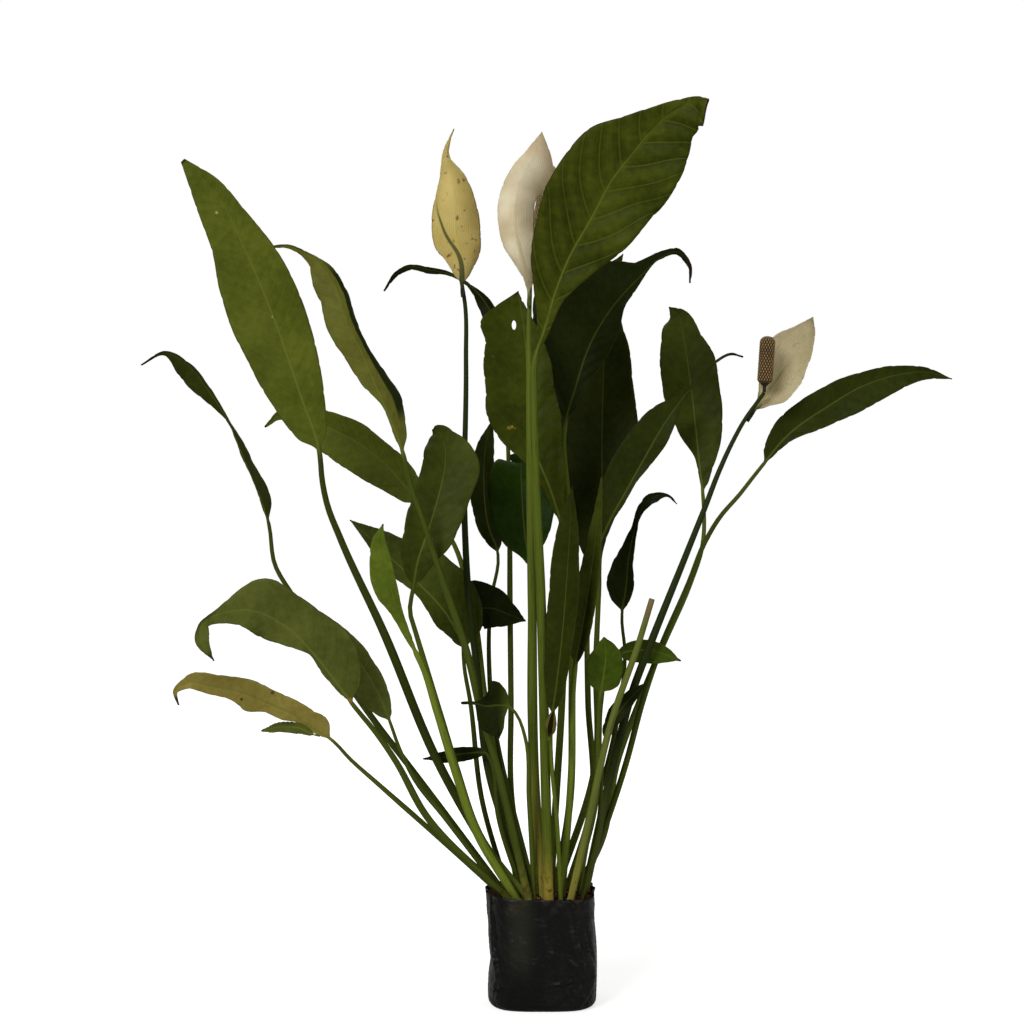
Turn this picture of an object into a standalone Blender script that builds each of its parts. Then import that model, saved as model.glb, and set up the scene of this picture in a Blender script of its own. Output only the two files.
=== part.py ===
"""A peace lily in a black film nursery bag, 0.87 m tall: a Blender 4.5 script in metres, +Z up.

The bag stands on Z = 0 with its middle on the origin. Every leaf is one body, from the foot of its
stalk in the soil to the tip of its blade. A bloom is a stalk, a spathe and a spadix.
"""
import math

import bmesh
import bpy
import numpy as np

MM = 0.001
GAP = 0.0003                    # between two solids that touch

# The bag: tube film about 110 mm across when filled, as high as it is wide
BAG_RADIUS = 0.0535
BAG_HEIGHT = 0.110
BAG_FILM = 0.0009
BAG_BASE_RADIUS = 0.048         # the flat that it stands on
BAG_BASE_ROUND = 0.006          # height of the rounding above the flat
RIM_WANDER = 0.0016             # how far the cut rim rises and dips
BAG_SQUARE = 3.4                # 2 would be round, more is squarer
BAG_BELLY = 0.0012
BAG_FOLDS = 0.0009
# Broad dents and bulges: angle in radians, height, depth, and how far they reach in radians and metres
BAG_DENTS = ((math.pi, 0.042, -0.0070, 0.45, 0.014), (math.pi, 0.106, 0.0030, 0.50, 0.020),
             (0.0, 0.100, -0.0025, 0.50, 0.035))
BAG_SIDES = 32
BAG_SHARES = (0.0, 0.10, 0.28, 0.50, 0.75, 0.94, 1.0)   # heights of its rings, the soil has all but two

# The soil fills the bag to just under the rim
SOIL_TOP = 0.104
SOIL_CROWN = 0.003              # the middle is this much higher than the edge
SOIL_LUMPS = 0.0008
SOIL_RINGS = (1.0, 0.72, 0.36, 0.05)
ROOT_DEPTH = 0.009              # how deep a stalk stands in its hole
HOLE_SIDES = 8
HOLE_REACH = 2.4                # length of a hole's cutter, in root depths

# The front view: an eye 1.9 m before the bag's middle, which the leaf routes are laid out from
EYE = np.array((-0.030, -1.9, 0.487))

# A leaf's skin: half thickness at the margin, in the blade, and of the midrib at its tip
EDGE_HALF = 0.00036
BLADE_HALF = 0.00040
RIB_HALF = 0.00055
TIP_HALF_WIDTH = 0.0007
STALK_STEP = 0.060              # between the cross sections of a stalk
STALK_COLUMNS = 4               # points across one face of a stalk, of a blade, of a spathe
BLADE_COLUMNS = 5
SPATHE_COLUMNS = 7
SPATHE_RINGS = 13
OPENS_BY = 0.07                 # share of the blade over which the round stalk turns flat
RIB_TAPER = 1.3
SHEATH_SHARE = 0.9              # of a stalk's thickness at the soil, kept up to its sheath's end
RIB_NARROWS = 0.45              # share by which the midrib is narrower than the stalk
RIB_SPREAD = 0.12               # of the half width
RIB_BULGE = (0.9, 0.35)         # of the midrib out of the blade, and how much less where it is flat
SIDE_ANGLES = (165.0, 15.0)     # where a stalk's two faces meet its sides, in degrees
RING_EASE = 0.28                # how much closer the sections lie at a blade's ends

# What a leaf has unless its own row says otherwise. Widths and waves are in mm, angles in degrees.
# Stalk is its radius at the soil and at the blade, and drip the thin tip's share and half width
LEAF = {"left": 1, "right": 1, "stalk": (3.6, 2.2), "sheath": 0.60, "fullest": 0.45, "fullness": 0.72,
        "roll": 0, "fold": 8, "cup": 12, "wave": 2.0, "waves": 3.0, "offset": 0.37, "drip": (0.04, 1.5),
        "rings": 11}
holes = []                      # foot, direction and radius of each stalk, for the holes in the soil

# A spadix: a bumpy club on a bare neck
SPADIX_RADIUS = 0.0072
SPADIX_SHOULDER = 0.0015
SPADIX_ROWS = 9
SPADIX_SIDES = 10
SPADIX_DENT = 0.0009
NECK_SHARE = 0.9                # of the stalk's thickness
SPADIX_FOOT = 0.8               # share of the full radius at the foot, and twice at the round top
SPADIX_TOP = (0.75, 0.35)
SPADIX_DOME = 0.3               # height of the round top, in radii

GREEN_DARK = (0.045, 0.075, 0.018)
GREEN_MID = (0.085, 0.125, 0.028)
GREEN_BRIGHT = (0.150, 0.230, 0.040)
OLIVE_YELLOW = (0.260, 0.260, 0.070)
STALK_GREEN = (0.120, 0.160, 0.045)
CREAM = (0.800, 0.760, 0.600)
CREAM_OLD = (0.690, 0.580, 0.250)
SPADIX_TAN = (0.420, 0.280, 0.100)
FILM_BLACK = (0.012, 0.013, 0.012)
SOIL_BROWN = (0.050, 0.025, 0.014)


def material(name, colour, roughness):
    """A plain finish of one colour."""
    found = bpy.data.materials.get(name)
    if found is None:
        found = bpy.data.materials.new(name)
        found.use_nodes = True
        shader = found.node_tree.nodes["Principled BSDF"]
        shader.inputs["Base Color"].default_value = (*colour, 1.0)
        shader.inputs["Roughness"].default_value = roughness
        shader.inputs["Metallic"].default_value = 0.0
    return found


def add_object(name, mesh_data, finish, smooth=True):
    """Put a bmesh into the scene as a named object with one material."""
    mesh = bpy.data.meshes.new(name)
    mesh_data.to_mesh(mesh)
    mesh_data.free()
    mesh.materials.append(finish)
    if smooth:
        mesh.shade_smooth()
    made = bpy.data.objects.new(name, mesh)
    bpy.context.scene.collection.objects.link(made)
    return made


def seen(across, up, back):
    """A point that the eye sees at (across, up) mm on the plane through the bag's middle, and that
    lies back mm behind that plane: it is moved along the line of sight."""
    flat = np.array((across, 0.0, up)) * MM
    return EYE + (flat - EYE) * (1.0 + back * MM / -EYE[1])


def curve_at(points, distances):
    """Places and directions on a smooth curve through points, at distances along its chords.

    Each stretch is a cubic whose end slopes are the weighted mean of the chords that meet there.
    """
    chords = np.diff(points, axis=0)
    steps = np.linalg.norm(chords, axis=1)
    knots = np.concatenate(([0.0], np.cumsum(steps)))
    slopes = chords / steps[:, None]
    ends = np.vstack((slopes[:1], slopes, slopes[-1:]))
    before = np.concatenate((steps[:1], steps))[:, None]
    after = np.concatenate((steps, steps[-1:]))[:, None]
    tangents = (ends[:-1] * after + ends[1:] * before) / (before + after)
    place = np.clip(np.searchsorted(knots, distances, side="right") - 1, 0, len(steps) - 1)
    step = steps[place][:, None]
    u = ((distances - knots[place]) / steps[place])[:, None]
    start, stop = points[place], points[place + 1]
    leave, arrive = tangents[place] * step, tangents[place + 1] * step
    spots = ((2 * u**3 - 3 * u**2 + 1) * start + (u**3 - 2 * u**2 + u) * leave
             + (3 * u**2 - 2 * u**3) * stop + (u**3 - u**2) * arrive)
    ways = ((6 * u**2 - 6 * u) * (start - stop) + (3 * u**2 - 4 * u + 1) * leave
            + (3 * u**2 - 2 * u) * arrive)
    return spots, ways / np.linalg.norm(ways, axis=1)[:, None]


def outline(t, fullest, fullness):
    """Half width along a blade, 1 at its fullest: a power of t from the base times a power of
    1 - t to the tip, which makes a rounded base and a drawn-out point."""
    rise = fullness
    fall = fullness * (1.0 - fullest) / fullest
    inside = np.clip(t, 0.0, 1.0)
    return (inside / fullest) ** rise * ((1.0 - inside) / (1.0 - fullest)) ** fall


def lengthwise(values, t):
    """A value that changes evenly along t from 0 to 1 through one or more given numbers."""
    listed = np.atleast_1d(np.asarray(values, dtype=float))
    return np.interp(t, np.linspace(0.0, 1.0, len(listed)), listed)


def half_width(given, t, shape):
    """Half width along a blade in mm: given at even steps from its base to its tip and joined
    smoothly, or as one number, the widest of a plain oval."""
    if np.ndim(given) == 0:
        return given * outline(t / (1.0 - shape["drip"][0]), shape["fullest"], shape["fullness"])
    listed = np.asarray(given, dtype=float)
    slopes = np.gradient(listed)
    steps = t * (len(listed) - 1)
    place = np.clip(steps.astype(int), 0, len(listed) - 2)
    u = steps - place
    smooth = ((2 * u**3 - 3 * u**2 + 1) * listed[place] + (u**3 - 2 * u**2 + u) * slopes[place]
              + (3 * u**2 - 2 * u**3) * listed[place + 1] + (u**3 - u**2) * slopes[place + 1])
    return np.maximum(smooth, 0.0)


def sections(route, base_at, distances, shape, columns):
    """Upper and lower points of a leaf's cross sections, as two arrays (section, column, 3).

    A section is round on the stalk and turns flat over the blade's first few millimetres. Across
    the blade a point goes along an arc that starts at the fold angle and turns by the cup angle,
    and the margin waves up and down along the blade.
    """
    spots, ways = curve_at(route, distances)
    length = np.linalg.norm(np.diff(route, axis=0), axis=1).sum()
    t = np.clip((distances - base_at) / max(length - base_at, MM), 0.0, 1.0)
    along = np.clip(distances / base_at, 0.0, 1.0)
    soil_half, top_half = (r * MM for r in shape["stalk"])
    sheath_half = SHEATH_SHARE * soil_half + (1.0 - SHEATH_SHARE) * top_half
    stalk_half = np.interp(along, (0.0, shape["sheath"], 1.0), (soil_half, sheath_half, top_half))
    fade = np.clip(t / OPENS_BY, 0.0, 1.0)
    flat = fade * fade * (3.0 - 2.0 * fade)
    rib = np.maximum(stalk_half * (1.0 - t) ** RIB_TAPER * (1.0 - RIB_NARROWS * flat), RIB_HALF)

    toward = EYE - spots
    face = toward - ways * np.sum(toward * ways, axis=1)[:, None]
    face /= np.linalg.norm(face, axis=1)[:, None]
    side = np.cross(ways, face)
    roll = np.radians(lengthwise(shape["roll"], t))[:, None]
    side, face = np.cos(roll) * side + np.sin(roll) * face, np.cos(roll) * face - np.sin(roll) * side

    angles = np.radians(np.linspace(*SIDE_ANGLES, columns))
    round_x, round_h = np.cos(angles), np.sin(angles)
    flat_x = np.linspace(-1.0, 1.0, columns)
    x = round_x + (flat_x - round_x) * flat[:, None]
    drip_share, drip_half = shape["drip"]
    thread = np.where(t > 0.5, drip_half * MM * np.clip((1.0 - t) / drip_share, 0.0, 1.0), 0.0)
    least = np.maximum(np.maximum(rib, TIP_HALF_WIDTH), thread)
    left = np.maximum(half_width(shape["left"], t, shape) * MM * flat, least)
    right = np.maximum(half_width(shape["right"], t, shape) * MM * flat, least)
    half = np.where(x < 0.0, left[:, None], right[:, None])
    reach = np.abs(x)

    fold = np.radians(lengthwise(shape["fold"], t))[:, None] * flat[:, None]
    cup = np.radians(lengthwise(shape["cup"], t))[:, None] * flat[:, None]
    cup = np.where(np.abs(cup) < 1e-4, 1e-4, cup)
    turn = fold + cup * reach
    out = half * (np.sin(turn) - np.sin(fold)) / cup * np.sign(x)
    lift = half * (np.cos(fold) - np.cos(turn)) / cup
    swing = np.sin(2.0 * np.pi * (shape["waves"] * t[:, None] + np.where(x < 0.0, 0.0, shape["offset"])))
    calm = np.sqrt(np.sin(np.pi * np.clip(t, 0.0, 1.0)))[:, None] * flat[:, None]
    lift = lift + shape["wave"] * MM * swing * calm * reach**1.5

    thin = EDGE_HALF + (BLADE_HALF - EDGE_HALF) * (1.0 - reach)
    ribbed = np.exp(-(flat_x / RIB_SPREAD) ** 2)[None, :]
    blade_h = thin + (rib[:, None] - thin) * ribbed * (RIB_BULGE[0] - RIB_BULGE[1] * flat[:, None])
    stalk_h = rib[:, None] * round_h
    h = stalk_h + (blade_h - stalk_h) * flat[:, None]

    tilt = np.sign(x) * turn * (reach > 0.01)
    normal = np.cos(tilt)[..., None] * face[:, None] - np.sin(tilt)[..., None] * side[:, None]
    middle = spots[:, None] + out[..., None] * side[:, None] + lift[..., None] * face[:, None]
    return middle + h[..., None] * normal, middle - h[..., None] * normal


def loft(name, upper, lower, finish):
    """A closed solid between an upper and a lower sheet of points, split alike on both faces."""
    shape = bmesh.new()
    rows, columns = upper.shape[:2]
    top = [[shape.verts.new(p) for p in row] for row in upper]
    low = [[shape.verts.new(p) for p in row] for row in lower]
    for r in range(rows - 1):
        for c in range(columns - 1):
            shape.faces.new((top[r][c], top[r][c + 1], top[r + 1][c + 1]))
            shape.faces.new((top[r][c], top[r + 1][c + 1], top[r + 1][c]))
            shape.faces.new((low[r][c], low[r + 1][c + 1], low[r][c + 1]))
            shape.faces.new((low[r][c], low[r + 1][c], low[r + 1][c + 1]))
        for edge, flip in ((0, False), (columns - 1, True)):
            ring = (low[r][edge], top[r][edge], top[r + 1][edge], low[r + 1][edge])
            ring = ring[::-1] if flip else ring
            shape.faces.new((ring[0], ring[1], ring[2]))
            shape.faces.new((ring[0], ring[2], ring[3]))
    for r, flip in ((0, False), (rows - 1, True)):
        for c in range(columns - 1):
            ring = (top[r][c], low[r][c], low[r][c + 1], top[r][c + 1])
            ring = ring[::-1] if flip else ring
            shape.faces.new((ring[0], ring[1], ring[2]))
            shape.faces.new((ring[0], ring[2], ring[3]))
    return add_object(name, shape, finish)


def ring_shares(count):
    """Where a blade's cross sections lie from 0 at its base to 1 at its tip, closer at both ends."""
    even = np.arange(count + 1) / count
    return (1.0 - RING_EASE) * even + RING_EASE * (0.5 - 0.5 * np.cos(np.pi * even))


def stalk_route(root, stem, base):
    """Points of a stalk: its foot in the soil, the soil's face, and its places in the front view,
    whose depth changes evenly with height from the root to the blade's base."""
    ground = np.array((root[0] * MM, root[1] * MM, SOIL_TOP))
    points = []
    for place in stem:
        share = (place[1] * MM - SOIL_TOP) / (base[1] * MM - SOIL_TOP)
        points.append(seen(place[0], place[1], root[1] + (base[2] - root[1]) * share))
    first = points[0] if points else seen(*base)
    way = (first - ground) / np.linalg.norm(first - ground)
    return [ground - way * ROOT_DEPTH, ground, *points], way


def leaf(name, root, stem, blade, finish, **given):
    """One leaf: a stalk from the soil at root, through the places of stem, and a blade along the
    places of blade, from its base to its tip."""
    shape = {**LEAF, **given}
    stalk, way = stalk_route(root, stem, blade[0])
    route = np.array([*stalk, *(seen(*place) for place in blade)])
    lengths = np.concatenate(([0.0], np.cumsum(np.linalg.norm(np.diff(route, axis=0), axis=1))))
    base_at = lengths[len(stalk)]
    rise = base_at - ROOT_DEPTH
    stalk_rings = max(3, round(rise / STALK_STEP))
    above = ROOT_DEPTH + rise * np.arange(stalk_rings) / stalk_rings
    blade_at = base_at + (lengths[-1] - base_at) * ring_shares(shape["rings"])
    distances = np.concatenate(([0.0], above, blade_at))
    upper, lower = sections(route, base_at, distances, shape, BLADE_COLUMNS)
    holes.append((route[0], way, shape["stalk"][0] * MM))
    loft(name, upper, lower, finish)


def stem_only(name, root, stem, top, finish, **given):
    """A stalk with no blade: round sections from the soil to a cut end at top. Gives its route."""
    shape = {**LEAF, **given}
    stalk, way = stalk_route(root, stem, top)
    route = np.array([*stalk, seen(*top)])
    length = np.linalg.norm(np.diff(route, axis=0), axis=1).sum()
    rings = max(4, round(length / STALK_STEP))
    distances = np.concatenate(([0.0], ROOT_DEPTH + (length - ROOT_DEPTH) * np.arange(rings + 1) / rings))
    upper, lower = sections(route, length, distances, shape, STALK_COLUMNS)
    holes.append((route[0], way, shape["stalk"][0] * MM))
    loft(name, upper, lower, finish)
    return route


def build_leaves():
    """Every leaf, from the left of the crown to the right. Places are (across, up, back) in mm as
    seen from the front, widths are half widths in mm, and angles are in degrees."""
    dark = material("leaf_dark", GREEN_DARK, 0.40)
    mid = material("leaf_mid", GREEN_MID, 0.42)
    bright = material("leaf_bright", GREEN_BRIGHT, 0.38)
    yellow = material("leaf_yellow", OLIVE_YELLOW, 0.50)

    leaf("leaf_01", (-27, -8), [(-107, 243), (-158, 366), (-201, 459), (-215, 495), (-220, 520)],
         [(-222, 543, -40), (-242, 605, -50), (-270, 685, -62), (-297, 749, -74), (-328, 808, -88),
          (-359, 839, -104)],
         mid, left=(5, 21, 30, 38, 42, 42, 39, 30, 27, 19, 3),
         right=(3, 16, 24, 30, 32, 32, 29, 24, 15, 10, 2), stalk=(4.6, 2.6), roll=(4, -6, 10), wave=2.2,
         waves=3.5, rings=13)
    leaf("leaf_02", (-37, 6), [(-136, 237), (-163, 272), (-249, 403), (-267, 434)],
         [(-273, 474, 30), (-297, 539, 44), (-317, 584, 58), (-335, 611, 68), (-354, 634, 78),
          (-377, 646, 86), (-401, 634, 92)],
         dark, left=(2, 2, 2, 2, 2, 4, 12, 20, 17, 3, 1), right=(2, 22, 22, 16, 7, 4, 4, 7, 4, 3, 1),
         stalk=(3.4, 1.9), roll=(50, 60, 55, 50, 40), fold=5, cup=10, wave=0.8, waves=4)
    leaf("leaf_03", (-13, -38), [(-48, 243), (-61, 287), (-73, 339), (-102, 426), (-122, 487),
          (-131, 512)],
         [(-138, 542, -78), (-144, 562, -79), (-155, 588, -80), (-167, 616, -82), (-182, 651, -83),
          (-195, 677, -83), (-205, 709, -80), (-220, 733, -74), (-234, 745, -66), (-254, 753, -56),
          (-272, 752, -46)],
         mid, left=(2, 3, 3, 12, 18, 20, 21, 19, 9, 3, 1),
         right=(2, 14, 24, 17, 12, 12, 13, 10, 3, 2, 1), stalk=(3.8, 2.2), roll=(20, 30, 25), fold=10,
         cup=14, wave=1.5, waves=4.5, rings=15)
    leaf("leaf_04", (-22, 16), [(-57, 299), (-73, 408), (-92, 462)],
         [(-120, 494, 74), (-134, 510, 84), (-157, 535, 98), (-179, 553, 112), (-202, 566, 124),
          (-232, 578, 138), (-262, 584, 150), (-277, 572, 158)],
         mid, left=(7, 15, 22, 27, 30, 30, 28, 23, 16, 6, 1),
         right=(4, 17, 20, 20, 20, 21, 19, 16, 11, 5, 1), stalk=(3.6, 2.0), roll=8)
    leaf("leaf_05", (-14, -22), [(-62, 164), (-85, 229), (-102, 285), (-118, 339), (-127, 369),
          (-132, 387)],
         [(-129, 410, -50), (-125, 435, -52), (-113, 471, -50), (-103, 505, -44), (-97, 535, -34),
          (-98, 556, -24), (-103, 568, -16), (-108, 571, -10)],
         bright, left=(2, 12, 20, 24, 26, 25, 24, 24, 22, 15, 3),
         right=(2, 12, 20, 27, 30, 32, 34, 35, 29, 13, 2), stalk=(3.6, 2.1), fold=10, cup=18, wave=2.2,
         rings=12)
    leaf("leaf_06", (-24, -31), [(-66, 168), (-88, 232), (-106, 290), (-121, 336)],
         [(-125, 344, -84), (-137, 371, -88), (-149, 404, -94), (-158, 439, -100), (-161, 459, -104),
          (-159, 475, -108)],
         bright, left=(1, 3, 5, 7, 10, 16, 17, 15, 12, 8, 0), right=(1, 3, 4, 5, 6, 8, 9, 9, 8, 5, 0),
         stalk=(4.2, 2.8), roll=15, fold=22, wave=0.8, rings=8)
    leaf("leaf_07", (-22, 5), [(-62, 299), (-70, 335)],
         [(-76, 348, 18), (-98, 388, 22), (-122, 414, 28), (-147, 437, 36), (-170, 459, 46),
          (-192, 479, 56)],
         dark, left=(5, 9, 16, 14, 11, 11, 13, 12, 8, 4, 0),
         right=(12, 28, 38, 41, 40, 38, 32, 23, 17, 8, 0), stalk=(3.4, 2.0), roll=-5)
    leaf("leaf_08", (-34, 19), [(-60, 199), (-72, 299), (-78, 335)],
         [(-78, 362, 40), (-68, 388, 40), (-52, 391, 42), (-34, 385, 44), (-16, 378, 46)],
         dark, left=(6, 20, 30, 33, 31, 26, 21, 16, 11, 6, 0),
         right=(4, 12, 18, 21, 22, 22, 20, 17, 12, 6, 0), stalk=(2.8, 1.8), wave=1.5, rings=8)
    leaf("leaf_09", (-32, -22), [(-117, 185), (-147, 239), (-165, 265)],
         [(-188, 293, -96), (-212, 325, -106), (-227, 344, -112), (-257, 373, -122), (-293, 389, -136),
          (-320, 386, -144), (-340, 376, -150), (-342, 360, -154), (-328, 338, -156)],
         mid, left=(1, 4, 6, 4, 14, 21, 20, 13, 7, 9, 0),
         right=(3, 24, 36, 38, 33, 31, 33, 12, 2, 5, 0), stalk=(3.6, 2.2), roll=(12, 4, 0), fold=4,
         cup=(12, 18), wave=2.5, waves=3.5, rings=14)
    leaf("leaf_10", (-38, -6), [(-115, 172), (-165, 216), (-193, 241)],
         [(-209, 258, -78), (-230, 271, -84), (-248, 284, -90), (-275, 296, -98), (-302, 307, -108),
          (-328, 312, -118), (-355, 316, -128), (-367, 308, -132), (-363, 294, -134)],
         yellow, left=(1, 3, 4, 9, 9, 15, 10, 8, 7, 4, 0),
         right=(2, 16, 15, 14, 15, 16, 14, 13, 11, 3, 1), stalk=(2.8, 1.6), roll=8, fold=8, cup=14,
         wave=1.2, waves=4, rings=13)
    leaf("leaf_11", (13, 4), [(28, 199), (30, 299), (30, 399), (26, 500)],
         [(23, 574, 40), (33, 609, 46), (48, 654, 56), (70, 691, 68), (98, 722, 84), (120, 742, 100),
          (136, 747, 112), (148, 733, 122), (148, 716, 126)],
         dark, left=(2, 26, 44, 62, 76, 68, 36, 13, 5, 3, 1),
         right=(2, 10, 18, 24, 22, 12, 7, 2, 2, 4, 1), stalk=(3.8, 2.6), roll=(10, 20), fold=10,
         wave=2.0, waves=4, rings=14)
    leaf("leaf_12", (15, 23), [(54, 239), (54, 340)],
         [(57, 410, 82), (59, 454, 88), (60, 499, 96), (60, 559, 108), (61, 609, 120), (63, 654, 134),
          (68, 695, 148), (75, 725, 160), (81, 745, 168)],
         dark, left=(2, 20, 36, 50, 55, 58, 57, 52, 43, 26, 0),
         right=(2, 2, 14, 33, 41, 38, 32, 26, 14, 7, 0), stalk=(3.8, 2.6), wave=2.5)
    leaf("leaf_13", (24, 10), [(50, 199), (46, 299), (46, 380), (50, 420)],
         [(56, 450, 46), (66, 475, 48), (84, 508, 52), (103, 542, 54), (124, 578, 56), (143, 604, 58),
          (172, 636, 62), (190, 645, 64), (201, 642, 66)],
         dark, left=(2, 14, 24, 29, 29, 25, 18, 3, 1.5, 1, 1),
         right=(2, 3, 5, 5, 10, 13, 9, 2, 1.5, 1, 1), stalk=(3.2, 2.0), roll=(-8, 8), wave=1.6,
         rings=14)
    leaf("leaf_14", (28, 29), [(75, 279), (83, 345)],
         [(80, 385, 92), (84, 409, 95), (87, 439, 98), (93, 469, 102), (100, 490, 108), (110, 501, 114),
          (125, 504, 120), (135, 495, 124)],
         dark, left=(3, 16, 22, 18, 11, 7, 5, 5, 5, 2, 0), right=(2, 7, 10, 8, 6, 4, 4, 6, 8, 3, 0),
         stalk=(2.6, 1.6), roll=(10, 35, 20), fold=14, wave=1.5, rings=11)
    leaf("leaf_15", (36, -10), [(57, 239), (60, 299), (66, 330)],
         [(75, 343, 16), (95, 349, 17), (115, 347, 18), (128, 343, 19), (139, 338, 20)],
         bright, left=11, right=14, stalk=(2.2, 1.5), wave=1.0, rings=7)
    leaf("leaf_16", (28, -20), [(54, 199), (57, 270)],
         [(59, 306, -36), (62, 326, -38), (64, 345, -40), (62, 362, -44)],
         bright, left=(2, 11, 16, 17, 18, 18, 17, 15, 12, 7, 0),
         right=(2, 11, 17, 19, 20, 20, 19, 17, 13, 8, 0), stalk=(2.8, 2.5), roll=10, wave=1.2, rings=8)
    leaf("leaf_17", (39, -18), [(57, 180), (60, 225)],
         [(63, 258, -22), (76, 285, -18), (90, 302, -14), (106, 318, -10)],
         dark, left=10, right=8, stalk=(2.2, 1.4), roll=20, wave=1.0, rings=7)
    leaf("leaf_18", (19, -22), [(30, 243), (31, 308)],
         [(33, 330, -36), (41, 372, -37), (50, 430, -38), (57, 490, -40), (60, 525, -42)],
         mid, left=(2, 8, 12, 14, 14, 12, 10, 8, 5, 3, 0),
         right=(2, 9, 13, 14, 13, 12, 10, 8, 5, 3, 0), stalk=(3.6, 2.6), roll=20, fold=25, wave=0.8,
         rings=8)
    leaf("leaf_19", (18, -37), [(14, 190), (10, 230), (9, 262)],
         [(10, 280, -56), (14, 309, -56), (20, 359, -56), (25, 419, -56), (28, 470, -56), (30, 512, -56)],
         dark, left=(2, 9, 14, 16, 17, 17, 17, 16, 13, 8, 0),
         right=(2, 9, 13, 15, 16, 17, 17, 15, 12, 7, 0), stalk=(2.2, 1.5), roll=20, fold=20, wave=1.0,
         rings=9)
    leaf("leaf_20", (-8, -30), [(-13, 199), (-17, 262), (-24, 282)],
         [(-33, 293, -66), (-43, 294, -68), (-56, 293, -72), (-68, 296, -76), (-81, 296, -80)],
         dark, left=(8, 22, 30, 33, 30, 24, 12, 2, 1, 1, 1),
         right=(6, 15, 22, 25, 24, 18, 9, 2, 1, 1, 1), stalk=(2.4, 1.4), roll=5, wave=1.2, rings=9)
    leaf("leaf_21", (-18, -13), [(-45, 190), (-49, 230)],
         [(-55, 245, -18), (-75, 246, -10), (-100, 242, -2), (-119, 240, 4)],
         dark, left=8, right=8, stalk=(2.6, 1.4), roll=20, wave=1.0, rings=7)
    leaf("leaf_22", (-14, 35), [(-30, 199), (-31, 299), (-32, 399), (-33, 520)],
         [(-38, 620, 84), (-46, 676, 96), (-58, 699, 104), (-75, 716, 112), (-95, 726, 122),
          (-115, 730, 132), (-131, 733, 140), (-146, 726, 148), (-158, 708, 156)],
         dark, left=(4, 13, 13, 11, 9, 3, 2, 5, 4, 4, 1), right=(4, 11, 11, 8, 6, 2, 2, 4, 2, 2, 1),
         stalk=(3.0, 1.8), roll=(20, 30, 30), fold=10, wave=1.0, waves=4, rings=14)
    leaf("leaf_23", (8, -13), [(14, 199), (20, 299), (23, 407)],
         [(20, 471, -6), (9, 508, -4), (-7, 549, 0), (-14, 599, 4), (-17, 659, 10), (-24, 708, 18)],
         mid, left=(2, 5, 8, 14, 33, 43, 42, 43, 42, 41, 0),
         right=(2, 10, 20, 27, 30, 31, 28, 25, 17, 8, 0), stalk=(3.8, 2.4), fold=6, wave=2.5, waves=4.5,
         rings=15)
    leaf("leaf_24", (-4, -15), [(-12, 299), (-12, 385)],
         [(-12, 430, 22), (-17, 464, 26), (-20, 500, 32), (-21, 526, 42), (-21, 537, 56),
          (-24, 533, 70)],
         bright, left=(2, 8, 22, 30, 34, 36, 36, 33, 27, 15, 0),
         right=(2, 12, 22, 29, 33, 34, 34, 32, 26, 14, 0), stalk=(3.0, 2.0), fold=10)
    leaf("leaf_25", (-8, 7), [(-52, 313), (-51, 399)],
         [(-44, 444, 96), (-54, 475, 104), (-58, 515, 114), (-56, 552, 124), (-48, 585, 134)],
         dark, left=15, right=17, stalk=(2.8, 1.7), roll=(0, 30), fold=15, rings=9)
    leaf("leaf_26", (6, -40), [(4, 199), (-1, 399), (-6, 519), (-8, 600)],
         [(-7, 640, -60), (3, 672, -62), (13, 706, -67), (26, 739, -74), (50, 782, -86), (70, 819, -97),
          (91, 846, -108), (115, 874, -120), (138, 892, -131), (158, 899, -140), (167, 898, -145)],
         dark, left=(3, 8, 21, 36, 47, 53, 52, 44, 23, 8, 2),
         right=(3, 6, 11, 26, 39, 48, 53, 52, 47, 31, 24), stalk=(5.0, 3.0), roll=(6, 0, 0), fold=8,
         cup=10, wave=2.5, waves=4, rings=16)
    leaf("leaf_27", (34, 20), [(59, 156), (76, 239), (98, 299), (120, 352), (148, 415), (160, 451)],
         [(161, 503, 84), (158, 529, 88), (154, 569, 96), (148, 619, 108), (142, 659, 118),
          (136, 684, 128), (127, 692, 134)],
         mid, left=(1, 2, 5, 17, 24, 30, 31, 29, 25, 18, 0),
         right=(2, 11, 21, 28, 30, 30, 31, 29, 20, 12, 0), stalk=(3.4, 2.0), wave=2.0, rings=12)
    leaf("leaf_28", (40, 8), [(85, 239), (101, 299), (116, 344), (148, 419), (162, 455), (178, 482),
          (198, 505), (212, 523)],
         [(220, 533, 42), (246, 564, 44), (285, 592, 44), (321, 613, 42), (355, 624, 38),
          (384, 627, 34), (410, 620, 28)],
         mid, left=(4, 12, 19, 20, 20, 18, 14, 12, 8, 4, 0),
         right=(2, 4, 9, 16, 20, 23, 23, 19, 13, 7, 0), stalk=(3.2, 1.9), roll=(12, 5, 5), fold=8,
         wave=1.5, waves=3.5, rings=12)
    leaf("leaf_29", (-36, -14), [(-100, 185), (-127, 219), (-142, 249)],
         [(-152, 277, -62), (-160, 298, -66), (-177, 329, -70), (-197, 359, -74), (-217, 381, -78)],
         mid, left=(2, 10, 18, 21, 21, 19, 17, 14, 11, 7, 0),
         right=(2, 6, 9, 11, 12, 12, 12, 10, 8, 5, 0), stalk=(2.6, 1.6), wave=1.0, rings=8)


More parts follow.
